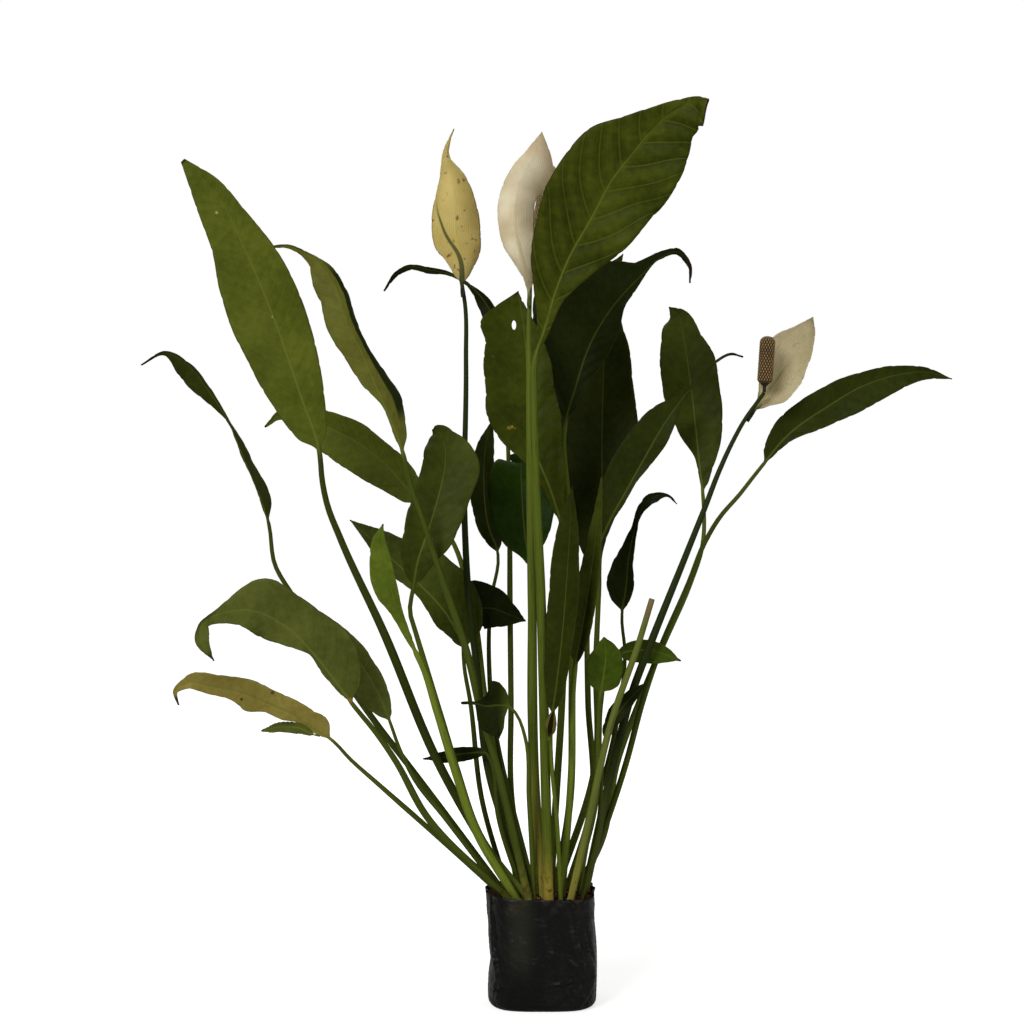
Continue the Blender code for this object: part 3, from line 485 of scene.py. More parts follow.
def half_widths(t, flat, rib, shape, rng):
    """How far the blade reaches to the left and to the right of its midrib, in metres.

    A slow random swell of about 2 percent and small notches in the margin are added, and it is never
    less than the midrib or the drawn-out thread at the tip.
    """
    drip_share, drip_half = shape["drip"]
    thread = np.where(t > 0.5, drip_half * MM * np.clip((1.0 - t) / drip_share, 0.0, 1.0), 0.0)
    least = np.maximum(np.maximum(rib, TIP_HALF_WIDTH), thread)
    widths = []
    for given in (shape["left"], shape["right"]):
        phases = rng.uniform(0.0, 2.0 * np.pi, 5)
        uneven = 1.0 + SWELL_SHARE * sum(np.sin(k * SWELL_PACE * t + p) for k, p in zip(SWELLS, phases))
        notch = np.sin(2.0 * np.pi * MARGIN_NOTCHES[0] * t + phases[3])
        notch = notch * np.sin(2.0 * np.pi * MARGIN_NOTCHES[1] * t + phases[4])
        wide = half_width(given, t, shape) * uneven - shape["ragged"] * np.clip(notch, 0.0, 1.0) ** 2
        widths.append(np.maximum(wide * MM * flat, least)[:, None])
    return widths


print("a plain blade's half width at its quarters, 1 at most:",
      outline(np.array((0.25, 0.5, 0.75)), LEAF["fullest"], LEAF["fullness"]).round(2))


# %% Which way a leaf faces
def lengthwise(values, t):
    """A value that changes evenly along t from 0 to 1 through one or more given numbers."""
    listed = np.atleast_1d(np.asarray(values, dtype=float))
    return np.interp(t, np.linspace(0.0, 1.0, len(listed)), listed)


def smooth_step(u):
    """From 0 to 1 with a level start and end: three times the square less twice the cube."""
    return u * u * (3.0 - 2.0 * u)


def facing(spots, ways, roll):
    """Side and front directions along a route: the front looks at the eye, then turns by roll."""
    toward = EYE - spots
    face = toward - ways * np.sum(toward * ways, axis=1)[:, None]
    face /= np.linalg.norm(face, axis=1)[:, None]
    side = np.cross(ways, face)
    roll = roll[:, None]
    return np.cos(roll) * side + np.sin(roll) * face, np.cos(roll) * face - np.sin(roll) * side


print("a smooth step at its quarters:", smooth_step(np.array((0.25, 0.5, 0.75))))


# %% Waves, quilting and thickness
def margin_waves(x, t, calm, shape, rng):
    """Height of the margin's waves: a sine along the blade that grows with the power 1.5 of the
    distance from the midrib, and two quicker ones that grow with its cube. Calm stills the ends."""
    reach = np.abs(x)
    swing = np.sin(2.0 * np.pi * (shape["waves"] * t + np.where(x < 0.0, 0.0, shape["offset"])))
    phases = rng.uniform(0.0, 2.0 * np.pi, (2, 2))
    ripple = sum(np.sin(2.0 * np.pi * shape["waves"] * k * t + np.where(x < 0.0, p, q))
                 for k, (p, q) in zip(RIPPLES, phases))
    return shape["wave"] * MM * calm * (swing * reach**1.5 + RIPPLE_SHARE * ripple * reach**3)


def quilting(reach, across, along, half, flat, shape):
    """Height of the puffed skin: a cosine of the distance along the blade less the vein's run-out,
    which dies away at the midrib, at the margin and where the blade is narrow."""
    flow = along - across * VEIN_ANGLE - across**2 * VEIN_BEND
    between = 0.5 - 0.5 * np.cos(2.0 * np.pi * flow / (shape["veins"] * MM))
    room = np.clip(half / QUILT_WIDTH, 0.0, 1.0) * flat
    room = room * np.sqrt(np.clip(reach * 5.0, 0.0, 1.0)) * (1.0 - reach**4)
    return shape["quilt"] * MM * between**0.6 * room


def face_heights(reach, across, rib, angles, flat):
    """How far the front and the back stand off the middle: a sine of the angle where it is a round
    stalk, and a thin sheet with a bell-shaped swelling at the midrib where it is flat."""
    thin = EDGE_HALF + (BLADE_HALF - EDGE_HALF) * (1.0 - reach)
    ribbed = np.exp(-(across / (RIB_SPREAD[0] * rib + RIB_SPREAD[1] * MM)) ** 2) * flat
    round_h = rib * np.sin(angles)
    front = round_h + (thin + (rib - thin) * ribbed * FRONT_RIB - round_h) * flat
    back = round_h + (thin + (rib - thin) * ribbed - round_h) * flat
    return front, back


print("half thickness at the margin and beside the midrib, in mm:", EDGE_HALF / MM, BLADE_HALF / MM)


# %% The two faces of a leaf
def leaf_surface(route, base_at, distances, shape, columns, rng):
    """The two faces of a leaf as arrays (row, column, 3), and the numbers its finish needs.

    Across the blade a point goes along an arc that starts at the fold angle and turns by the cup
    angle. To its height are added the margin's waves and the quilting.
    """
    spots, ways = curve_at(route, distances)
    length = np.linalg.norm(np.diff(route, axis=0), axis=1).sum()
    t = np.clip((distances - base_at) / max(length - base_at, MM), 0.0, 1.0)
    rise = np.clip(distances / base_at, 0.0, 1.0)
    soil_half, top_half = (r * MM for r in shape["stalk"])
    sheath_half = SHEATH_SHARE * soil_half + (1.0 - SHEATH_SHARE) * top_half
    stalk_half = np.interp(rise, (0.0, shape["sheath"], 1.0), (soil_half, sheath_half, top_half))
    flat = smooth_step(np.clip(t / OPENS_BY, 0.0, 1.0))
    rib = np.maximum(stalk_half * (1.0 - t) ** RIB_TAPER * (1.0 - RIB_NARROWS * flat), RIB_HALF)
    side, face = facing(spots, ways, np.radians(lengthwise(shape["roll"], t)))

    even = np.linspace(-1.0, 1.0, columns)
    flat_x = even * (1.0 - RIB_CROWDING + RIB_CROWDING * np.abs(even))
    angles = np.radians(90.0 - HALF_TURN * even)
    x = np.cos(angles) + (flat_x - np.cos(angles)) * flat[:, None]
    left, right = half_widths(t, flat, rib, shape, rng)
    half = np.where(x < 0.0, left, right)
    reach = np.abs(x)
    flat, rib, t_wide = flat[:, None], rib[:, None], t[:, None]

    fold = np.radians(lengthwise(shape["fold"], t))[:, None] * flat
    cup = np.radians(lengthwise(shape["cup"], t))[:, None] * flat
    cup = np.where(np.abs(cup) < 1e-4, 1e-4, cup)
    turned = fold + cup * reach
    out = half * (np.sin(turned) - np.sin(fold)) / cup * np.sign(x)
    lift = half * (np.cos(fold) - np.cos(turned)) / cup

    calm = np.sqrt(np.sin(np.pi * np.clip(t_wide, 0.0, 1.0))) * flat
    along = (distances - base_at)[:, None]
    lift = lift + margin_waves(x, t_wide, calm, shape, rng)
    lift = lift + quilting(reach, reach * half, along, half, flat, shape)
    front, back = face_heights(reach, reach * half, rib, angles, flat)

    tilt = np.sign(x) * turned * (reach > 0.01)
    normal = np.cos(tilt)[..., None] * face[:, None] - np.sin(tilt)[..., None] * side[:, None]
    middle = spots[:, None] + out[..., None] * side[:, None] + lift[..., None] * face[:, None]
    t_wide, along, rise = (np.broadcast_to(v, x.shape) for v in (t_wide, along, rise[:, None]))
    return {"front": middle + front[..., None] * normal, "back": middle - back[..., None] * normal,
            "x": x, "t": t_wide, "across": x * half, "along": along, "rise": rise}


# %% [markdown]
# ## Making one leaf
#
# Rows of the grid lie 9 mm apart on the stalk and 3 mm apart on the blade, so that the quilting
# between the veins has faces enough to show in its outline as well as in its shading. A leaf that
# was bitten has a hole: the cells inside an oval are left out, and the corners around it are drawn
# onto the oval, seen from the front.

# %% Rows and a hole
STALK_ROW = 0.009
ROW_EASE = 0.25                 # how much closer the rows lie at a blade's ends


def rows_for(foot, base_at, length, stalk_row, blade_row):
    """Distances of the rows: even on the stalk, and closer together at both ends of the blade."""
    stalk_rows = max(3, round((base_at - foot) / stalk_row))
    stalk = foot + (base_at - foot) * np.arange(stalk_rows) / stalk_rows
    blade_rows = max(12, round((length - base_at) / blade_row))
    even = np.arange(blade_rows + 1) / blade_rows
    eased = (1.0 - ROW_EASE) * even + ROW_EASE * (0.5 - 0.5 * np.cos(np.pi * even))
    return np.concatenate((stalk, base_at + (length - base_at) * eased))


def cut_hole(surface, keep, centre, reach):
    """Leave out the cells within an oval and draw the corners around it onto the oval."""
    right, up = as_seen(surface["front"])
    off = np.stack((right - centre[0], up - centre[1]), axis=-1)
    size = np.hypot(off[..., 0] / reach[0], off[..., 1] / reach[1])
    inside = size < 1.0
    keep &= ~(inside[:-1, :-1] & inside[:-1, 1:] & inside[1:, 1:] & inside[1:, :-1])
    onto = np.where(inside & (size > 0.0), 1.0 / np.maximum(size, 1e-6) - 1.0, 0.0)
    shift = np.stack((off[..., 0] * onto, np.zeros_like(onto), off[..., 1] * onto), axis=-1) * MM
    surface["front"] += shift
    surface["back"] += shift


print("rows of a blade of 300 mm on a stalk of 400 mm:",
      len(rows_for(0.0, 0.4, 0.7, STALK_ROW, LEAF["row"])))


# %% One leaf
def add_sheet(name, surface, finish, node, shape):
    """Turn a surface into a closed piece that carries its numbers."""
    rows, columns = surface["x"].shape
    keep = np.ones((rows - 1, columns - 1), dtype=bool)
    if shape["hole"]:
        cut_hole(surface, keep, *shape["hole"])
    points = np.concatenate((surface["front"].reshape(-1, 3), surface["back"].reshape(-1, 3)))
    numbers = np.stack((surface["across"] / MM, surface["along"] / MM, 0.0 * surface["x"]), axis=-1)
    numbers = numbers.reshape(-1, 3)
    shares = np.stack((surface["x"], surface["t"], surface["rise"]), axis=-1).reshape(-1, 3)
    spot = np.concatenate((numbers, numbers + (0.0, 0.0, 1.0)))
    share = np.concatenate((shares, shares))
    own = np.tile((shape["tone"], shape["veins"], shape["dry"]), (len(points), 1))
    return add_piece(name, points, sheet_faces(rows, columns, keep), finish, node,
                     {"spot": spot, "share": share, "own": own})


def add_leaf(name, root, stem, blade, finish, slot, **given):
    """One leaf: its stalk from the soil at root through the places of stem, and its blade along the
    places of blade, from its base to its tip. Its number is the seed of its random unevenness."""
    shape = {**LEAF, **given}
    rng = np.random.default_rng(int(name.split("_")[1]))
    stalk = stalk_route(root, stem, blade[0])
    route = np.array([*stalk, *(seen(*place) for place in blade)])
    lengths = np.concatenate(([0.0], np.cumsum(np.linalg.norm(np.diff(route, axis=0), axis=1))))
    base_at = lengths[len(stalk)]
    distances = rows_for(0.0, base_at, lengths[-1], STALK_ROW, shape["row"])
    surface = leaf_surface(route, base_at, distances, shape, shape["columns"], rng)
    return add_sheet(name, surface, FINISHES[finish], name, shape)


# %% [markdown]
# ## The skin of a leaf
#
# A peace lily's leaf is satin rather than glossy. Its midrib is a pale line, its side veins are
# slightly lighter than the skin between them, and hair-fine veins run beside them. Older leaves are
# duller and greyer, young ones are yellow-green, and every leaf has cloudy patches. The stalk is
# lighter than the blade and turns yellowish, with brown flecks, where it leaves the soil.
#
# All of it is drawn from the two numbers across and along that the mesh carries. A side vein is a
# line of equal flow, the same number that puffs up the skin, so the pattern and the relief agree.
# The hollows along strong side veins are also darkened in the colour: that darkening is painted shade.

# %% The skin of a leaf
STALK_DARK = paint(34, 40, 13)
STALK_BRIGHT = paint(112, 128, 40)
STALK_SOIL = paint(112, 116, 48)
FLECK = paint(74, 42, 22)
DRY_BROWN = paint(46, 32, 16)
DEPTH_COUNTS = 0.3              # a mark is placed across the leaf, so its depth counts for less


def leaf_finish(name, skin, light, back, vein=0.35, gloss=0.46, rib=0.6, soil=STALK_SOIL, marks=(),
                turned=None):
    """A leaf's finish: skin and light are its two greens, back is its underside. Marks are given as
    a place, a radius in mm and a colour. Soil is the colour of the stalk's foot, and turned is the
    dark of a painted shade along a right margin that curls over. Vein sets how much the side veins
    show, and how dark the painted shade in the hollows along them is."""
    finish, shader, start = new_finish(name, Specular_IOR_Level=0.035)
    across, along, under = carried(start, "spot")
    reach, t, rise = carried(start, "share")
    stalk_tone, vein_spacing, dry_share = carried(start, "own")
    place = own_place(start)
    away = abs(across)
    flow = along - away * VEIN_ANGLE - away * away * (VEIN_BEND * MM)
    turns = flow.maths("DIVIDE", flow, vein_spacing)
    blade = along.ease(-6.0, 14.0)
    clouds = place.noise(21.0, 4.0)
    fine_clouds = place.noise(160.0, 3.0)
    grain = start.node("ShaderNodeCombineXYZ", None, {0: across * 1.2, 1: along * 0.03, 2: under}).noise(1.0)

    # The veins: a line at each whole turn of the flow, fine ones between, and a midrib that narrows
    side_vein = turns.lines(1.0, 0.06) * away.ease(0.5, 3.0)
    fine_vein = turns.lines(0.2, 0.05)
    midrib = (away + t * 1.1).ease(1.7, 0.6)
    # The skin: cloudy between its two greens, and darker by a painted shade in the hollows along strong side
    # veins
    painted_valley_shade = turns.lines(1.0, 0.5) * away.ease(0.5, 6.0)
    tone = (clouds - 0.5) * 1.0 + (fine_clouds - 0.5) * 0.6 + fine_vein * 0.05 + 0.48
    tone = tone - painted_valley_shade * (vein - 0.25) * 0.6
    green = tone.ease(-0.15, 1.15).blend(skin, light)
    # Over it lie the veins, a brown line along the margin and, from behind, the underside's colour
    green = (side_vein * vein).blend(green, light)
    green = (midrib * rib).blend(green, paint(104, 112, 44))
    green = (abs(reach).ease(0.960, 1.0) * 0.4).blend(green, DRY_BROWN)
    green = (under * 0.8).blend(green, back)
    # A painted shade: the right margin is darkened where it curls over
    if turned:
        green = (reach.ease(0.50, 0.60) * t.ease(0.10, 0.17) * t.ease(0.78, 0.68)).blend(green, turned)
    # The dry tip and the blemishes come last
    dry = (t + (clouds - 0.5) * 0.03).ease(1.0 - dry_share, 1.0 - dry_share * 0.4)
    green = dry.blend(green, DRY_BROWN)
    for centre, radius, colour in marks:
        shown = tuple(seen(*centre) * (1.0, DEPTH_COUNTS, 1.0))
        mark = place.stretched(1.0, DEPTH_COUNTS, 1.0).near(*shown, radius * MM)
        green = (mark * fine_clouds.ease(0.30, 0.50)).blend(green, paint(*colour))

    # The stalk: its own green over the soil's colour at the foot, with streaks and flecks
    stalk = rise.ease(0.0, 0.15).blend(soil, stalk_tone.blend(STALK_DARK, STALK_BRIGHT))
    stalk = (grain.ease(0.42, 0.70) * 0.4).blend(stalk, STALK_DARK)
    flecks = place.noise(150.0, 4.0).ease(0.52, 0.66) * rise.ease(0.16, 0.03)
    stalk = (flecks * 0.7).blend(stalk, FLECK)
    feed(shader, Base_Color=blade.blend(stalk, green),
         Roughness=(clouds - 0.5) * 0.24 + under * 0.15 + gloss,
         Normal=bump(side_vein * -0.6 + fine_clouds * 0.8 + grain * (1.0 - blade), 0.00022, 0.8))
    return finish


print("a stalk's foot is", [round(v, 3) for v in STALK_SOIL], "to the shader")

# %% The leaves' finishes
PALE_SPECK, TAN, BROWN = (150, 148, 96), (138, 112, 44), (60, 38, 18)
OLIVE_MARKS = [((-325, 786, -82), 2.2, PALE_SPECK), ((-269, 682, -60), 1.8, PALE_SPECK),
               ((-266, 636, -54), 1.8, PALE_SPECK), ((-301, 716, -66), 1.4, PALE_SPECK)]
DULL_MARKS = [((-214, 375, -104), 3.4, BROWN), ((-199, 353, -100), 2.8, BROWN),
              ((-192, 299, -96), 4.0, TAN), ((-150, 548, 90), 2.0, BROWN)]
BLEMISHES = [((-33, 571, 2), 3.0, TAN), ((-30, 572, 2), 2.4, TAN), ((-27, 571, 2), 1.8, TAN),
             ((-49, 642, 8), 3.0, (118, 108, 40))]
FINISHES = {
    # deep: a darker copy of the greens for leaves in shadow deep in the crown, a painted shade
    "deep": leaf_finish("leaf_painted_shade_green", paint(14, 19, 2), paint(36, 44, 9), paint(54, 62, 26), rib=0.3),
    "dark": leaf_finish("leaf_dark_green", paint(27, 33, 4), paint(54, 62, 14), paint(70, 80, 36), rib=0.4),
    "plain": leaf_finish("leaf_green", paint(36, 42, 6), paint(72, 80, 22), paint(88, 98, 48)),
    "broad": leaf_finish("leaf_broad_green", paint(36, 42, 4), paint(80, 88, 20), paint(92, 102, 46),
                         vein=0.6, soil=paint(152, 134, 54)),
    "blemished": leaf_finish("leaf_blemished_green", paint(32, 38, 3), paint(68, 76, 16), paint(84, 92, 40),
                             marks=BLEMISHES),
    "shade": leaf_finish("leaf_shade_green", paint(14, 26, 1), paint(40, 62, 6), paint(44, 62, 20),
                         rib=0.3),
    "vivid": leaf_finish("leaf_vivid_green", paint(36, 52, 6), paint(78, 96, 22), paint(80, 98, 34)),
    # twisted: its turned colour is a painted shade along the curled right margin
    "twisted": leaf_finish("leaf_twisted_green", paint(70, 72, 22), paint(108, 108, 44),
                           paint(104, 108, 52), turned=paint(30, 36, 12)),
    "dull": leaf_finish("leaf_dull_green", paint(58, 65, 20), paint(98, 104, 44), paint(100, 106, 56),
                        gloss=0.52, marks=DULL_MARKS),
    "olive": leaf_finish("leaf_olive_green", paint(60, 67, 14), paint(100, 108, 34), paint(104, 110, 52),
                         marks=OLIVE_MARKS),
    "fresh": leaf_finish("leaf_fresh_green", paint(58, 72, 12), paint(106, 124, 38), paint(112, 126, 56)),
    "yellow": leaf_finish("leaf_yellowing", paint(106, 96, 34), paint(150, 138, 70), paint(146, 136, 76),
                          gloss=0.55,
                          marks=[((-269, 307, -96), 3.0, BROWN), ((-300, 300, -106), 2.2, BROWN)]),
}
print("leaf finishes:", len(FINISHES))

# %% [markdown]
# ## Every leaf, from the left of the crown to the right
#
# Each row gives where the stalk stands in the soil, the stalk's places, the blade's places from its
# base to its tip, its finish, its slot and its widths. Places are millimetres across, up and back as
# seen from the front, widths are half widths in millimetres, and angles are in degrees.

# %% The left side of the crown
add_leaf("leaf_01", (-27, -8), [(-107, 243), (-158, 366), (-201, 459), (-215, 495), (-220, 520)],
         [(-222, 543, -40), (-242, 605, -50), (-270, 685, -62), (-297, 749, -74), (-328, 808, -88),
          (-359, 839, -104)],
         "olive", "leaf_mid", dry=0.006, tone=0.16, left=(5, 21, 30, 38, 42, 42, 39, 30, 27, 19, 3),
         right=(3, 16, 24, 30, 32, 32, 29, 24, 15, 10, 2), stalk=(4.6, 2.6), roll=(4, -6, 10), wave=2.2,
         waves=3.5)
add_leaf("leaf_02", (-37, 6), [(-136, 237), (-163, 272), (-249, 403), (-267, 434)],
         [(-273, 474, 30), (-297, 539, 44), (-317, 584, 58), (-335, 611, 68), (-354, 634, 78),
          (-377, 646, 86), (-401, 634, 92)],
         "dark", "leaf_dark", dry=0.1, tone=0.25, left=(2, 2, 2, 2, 2, 4, 12, 20, 17, 3, 1),
         right=(2, 22, 22, 16, 7, 4, 4, 7, 4, 3, 1), stalk=(3.4, 1.9), roll=(50, 60, 55, 50, 40),
         fold=5, cup=10, wave=0.8, waves=4)
add_leaf("leaf_03", (-13, -38), [(-48, 243), (-61, 287), (-73, 339), (-102, 426), (-122, 487),
          (-131, 512)],
         [(-138, 542, -78), (-144, 562, -79), (-155, 588, -80), (-167, 616, -82), (-182, 651, -83),
          (-195, 677, -83), (-205, 709, -80), (-220, 733, -74), (-234, 745, -66), (-254, 753, -56),
          (-272, 752, -46)],
         "twisted", "leaf_mid", tone=0.3, left=(2, 3, 3, 12, 18, 20, 21, 19, 9, 3, 1),
         right=(2, 14, 24, 17, 12, 12, 13, 10, 3, 2, 1), stalk=(3.8, 2.2), roll=(20, 30, 25), fold=10,
         cup=14, wave=1.5, waves=4.5)
add_leaf("leaf_04", (-22, 16), [(-57, 299), (-73, 408), (-92, 462)],
         [(-120, 494, 74), (-134, 510, 84), (-157, 535, 98), (-179, 553, 112), (-202, 566, 124),
          (-232, 578, 138), (-262, 584, 150), (-277, 572, 158)],
         "olive", "leaf_mid", tone=0.5, left=(7, 15, 22, 27, 30, 30, 28, 23, 16, 6, 1),
         right=(4, 17, 20, 20, 20, 21, 19, 16, 11, 5, 1), stalk=(3.6, 2.0), roll=8)
add_leaf("leaf_05", (-14, -22), [(-62, 164), (-85, 229), (-102, 285), (-118, 339), (-127, 369),
          (-132, 387)],
         [(-129, 410, -50), (-125, 435, -52), (-113, 471, -50), (-103, 505, -44), (-97, 535, -34),
          (-98, 556, -24), (-103, 568, -16), (-108, 571, -10)],
         "plain", "leaf_bright", tone=0.5, left=(2, 12, 20, 24, 26, 25, 24, 24, 22, 15, 3),
         right=(2, 12, 20, 27, 30, 32, 34, 35, 29, 13, 2), stalk=(3.6, 2.1), fold=10, cup=18, wave=2.2)
add_leaf("leaf_06", (-24, -31), [(-66, 168), (-88, 232), (-106, 290), (-121, 336)],
         [(-125, 344, -84), (-137, 371, -88), (-149, 404, -94), (-158, 439, -100), (-161, 459, -104),
          (-159, 475, -108)],
         "fresh", "leaf_bright", tone=1.0, left=(1, 3, 5, 7, 10, 16, 17, 15, 12, 8, 0),
         right=(1, 3, 4, 5, 6, 8, 9, 9, 8, 5, 0), stalk=(4.2, 2.8), roll=15, fold=22, wave=0.8,
         veins=9.0)
add_leaf("leaf_07", (-22, 5), [(-62, 299), (-70, 335)],
         [(-76, 348, 18), (-98, 388, 22), (-122, 414, 28), (-147, 437, 36), (-170, 459, 46),
          (-192, 479, 56)],
         "plain", "leaf_dark", tone=0.5, left=(5, 9, 16, 14, 11, 11, 13, 12, 8, 4, 0),
         right=(12, 28, 38, 41, 40, 38, 32, 23, 17, 8, 0), stalk=(3.4, 2.0), roll=-5)
add_leaf("leaf_08", (-34, 19), [(-60, 199), (-72, 299), (-78, 335)],
         [(-78, 362, 40), (-68, 388, 40), (-52, 391, 42), (-34, 385, 44), (-16, 378, 46)],
         "deep", "leaf_dark", tone=0.3, left=(6, 20, 30, 33, 31, 26, 21, 16, 11, 6, 0),
         right=(4, 12, 18, 21, 22, 22, 20, 17, 12, 6, 0), stalk=(2.8, 1.8), wave=1.5)
add_leaf("leaf_09", (-32, -22), [(-117, 185), (-147, 239), (-165, 265)],
         [(-188, 293, -96), (-212, 325, -106), (-227, 344, -112), (-257, 373, -122), (-293, 389, -136),
          (-320, 386, -144), (-340, 376, -150), (-342, 360, -154), (-328, 338, -156)],
         "dull", "leaf_mid", dry=0.05, tone=0.35, left=(1, 4, 6, 4, 14, 21, 20, 13, 7, 9, 0),
         right=(3, 24, 36, 38, 33, 31, 33, 12, 2, 5, 0), stalk=(3.6, 2.2), roll=(12, 4, 0), fold=4,
         cup=(12, 18), wave=2.5, waves=3.5)
add_leaf("leaf_10", (-38, -6), [(-115, 172), (-165, 216), (-193, 241)],
         [(-209, 258, -78), (-230, 271, -84), (-248, 284, -90), (-275, 296, -98), (-302, 307, -108),
          (-328, 312, -118), (-355, 316, -128), (-367, 308, -132), (-363, 294, -134)],
         "yellow", "leaf_yellow", dry=0.06, tone=0.4, left=(1, 3, 4, 9, 9, 15, 10, 8, 7, 4, 0),
         right=(2, 16, 15, 14, 15, 16, 14, 13, 11, 3, 1), stalk=(2.8, 1.6), roll=8, fold=8, cup=14,
         wave=1.2, waves=4, veins=9.0)
add_leaf("leaf_29", (-36, -14), [(-100, 185), (-127, 219), (-142, 249)],
         [(-152, 277, -62), (-160, 298, -66), (-177, 329, -70), (-197, 359, -74), (-217, 381, -78)],
         "dull", "leaf_mid", tone=0.4, left=(2, 10, 18, 21, 21, 19, 17, 14, 11, 7, 0),
         right=(2, 6, 9, 11, 12, 12, 12, 10, 8, 5, 0), stalk=(2.6, 1.6), wave=1.0, veins=9.0)

# %% The middle of the crown
add_leaf("leaf_11", (13, 4), [(28, 199), (30, 299), (30, 399), (26, 500)],
         [(23, 574, 40), (33, 609, 46), (48, 654, 56), (70, 691, 68), (98, 722, 84), (120, 742, 100),
          (136, 747, 112), (148, 733, 122), (148, 716, 126)],
         "deep", "leaf_dark", dry=0.12, tone=0.5, left=(2, 26, 44, 62, 76, 68, 36, 13, 5, 3, 1),
         right=(2, 10, 18, 24, 22, 12, 7, 2, 2, 4, 1), stalk=(3.8, 2.6), roll=(10, 20), fold=10,
         wave=2.0, waves=4)
add_leaf("leaf_12", (15, 23), [(54, 239), (54, 340)],
         [(57, 410, 82), (59, 454, 88), (60, 499, 96), (60, 559, 108), (61, 609, 120), (63, 654, 134),
          (68, 695, 148), (75, 725, 160), (81, 745, 168)],
         "dark", "leaf_dark", tone=0.55, left=(2, 20, 36, 50, 55, 58, 57, 52, 43, 26, 0),
         right=(2, 2, 14, 33, 41, 38, 32, 26, 14, 7, 0), stalk=(3.8, 2.6), wave=2.5)
add_leaf("leaf_20", (-8, -30), [(-13, 199), (-17, 262), (-24, 282)],
         [(-33, 293, -66), (-43, 294, -68), (-56, 293, -72), (-68, 296, -76), (-81, 296, -80)],
         "deep", "leaf_dark", tone=0.4, left=(8, 22, 30, 33, 30, 24, 12, 2, 1, 1, 1),
         right=(6, 15, 22, 25, 24, 18, 9, 2, 1, 1, 1), stalk=(2.4, 1.4), roll=5, wave=1.2)
add_leaf("leaf_21", (-18, -13), [(-45, 190), (-49, 230)],
         [(-55, 245, -18), (-75, 246, -10), (-100, 242, -2), (-119, 240, 4)],
         "deep", "leaf_dark", tone=0.3, left=8, right=8, stalk=(2.6, 1.4), roll=20, wave=1.0, veins=9.0)
add_leaf("leaf_22", (-14, 35), [(-30, 199), (-31, 299), (-32, 399), (-33, 520)],
         [(-38, 620, 84), (-46, 676, 96), (-58, 699, 104), (-75, 716, 112), (-95, 726, 122),
          (-115, 730, 132), (-131, 733, 140), (-146, 726, 148), (-158, 708, 156)],
         "deep", "leaf_dark", tone=0.4, left=(4, 13, 13, 11, 9, 3, 2, 5, 4, 4, 1),
         right=(4, 11, 11, 8, 6, 2, 2, 4, 2, 2, 1), stalk=(3.0, 1.8), roll=(20, 30, 30), fold=10,
         wave=1.0, waves=4, veins=9.0)
add_leaf("leaf_23", (8, -13), [(14, 199), (20, 299), (23, 407)],
         [(20, 471, -6), (9, 508, -4), (-7, 549, 0), (-14, 599, 4), (-17, 659, 10), (-24, 708, 18)],
         "blemished", "leaf_mid", tone=0.45, left=(2, 5, 8, 14, 33, 43, 42, 43, 42, 41, 0),
         right=(2, 10, 20, 27, 30, 31, 28, 25, 17, 8, 0), stalk=(3.8, 2.4), fold=6, wave=2.5, waves=4.5,
         ragged=1.0, columns=81, row=0.0011, hole=((-28, 674), (2.2, 4.8)))
add_leaf("leaf_24", (-4, -15), [(-12, 299), (-12, 385)],
         [(-12, 430, 22), (-17, 464, 26), (-20, 500, 32), (-21, 526, 42), (-21, 537, 56),
          (-24, 533, 70)],
         "shade", "leaf_bright", tone=0.5, left=(2, 8, 22, 30, 34, 36, 36, 33, 27, 15, 0),
         right=(2, 12, 22, 29, 33, 34, 34, 32, 26, 14, 0), stalk=(3.0, 2.0), fold=10)
add_leaf("leaf_25", (-8, 7), [(-52, 313), (-51, 399)],
         [(-44, 444, 96), (-54, 475, 104), (-58, 515, 114), (-56, 552, 124), (-48, 585, 134)],
         "deep", "leaf_dark", tone=0.3, left=15, right=17, stalk=(2.8, 1.7), roll=(0, 30), fold=15)
add_leaf("leaf_26", (6, -40), [(4, 199), (-1, 399), (-6, 519), (-8, 600)],
         [(-7, 640, -60), (3, 672, -62), (13, 706, -67), (26, 739, -74), (50, 782, -86), (70, 819, -97),
          (91, 846, -108), (115, 874, -120), (138, 892, -131), (158, 899, -140), (167, 898, -145)],
         "broad", "leaf_dark", dry=0.004, tone=0.5, left=(3, 8, 21, 36, 47, 53, 52, 44, 23, 8, 2),
         right=(3, 6, 11, 26, 39, 48, 53, 52, 47, 31, 24), stalk=(5.0, 3.0), roll=(6, 0, 0), fold=8,
         cup=10, wave=2.5, waves=4, veins=29.0, quilt=1.7)

# %% The right side of the crown
add_leaf("leaf_13", (24, 10), [(50, 199), (46, 299), (46, 380), (50, 420)],
         [(56, 450, 46), (66, 475, 48), (84, 508, 52), (103, 542, 54), (124, 578, 56), (143, 604, 58),
          (172, 636, 62), (190, 645, 64), (201, 642, 66)],
         "dark", "leaf_dark", dry=0.1, tone=0.5, left=(2, 14, 24, 29, 29, 25, 18, 3, 1.5, 1, 1),
         right=(2, 3, 5, 5, 10, 13, 9, 2, 1.5, 1, 1), stalk=(3.2, 2.0), roll=(-8, 8), wave=1.6)
add_leaf("leaf_14", (28, 29), [(75, 279), (83, 345)],
         [(80, 385, 92), (84, 409, 95), (87, 439, 98), (93, 469, 102), (100, 490, 108), (110, 501, 114),
          (125, 504, 120), (135, 495, 124)],
         "deep", "leaf_dark", tone=0.25, left=(3, 16, 22, 18, 11, 7, 5, 5, 5, 2, 0),
         right=(2, 7, 10, 8, 6, 4, 4, 6, 8, 3, 0), stalk=(2.6, 1.6), roll=(10, 35, 20), fold=14,
         wave=1.5, veins=9.0)
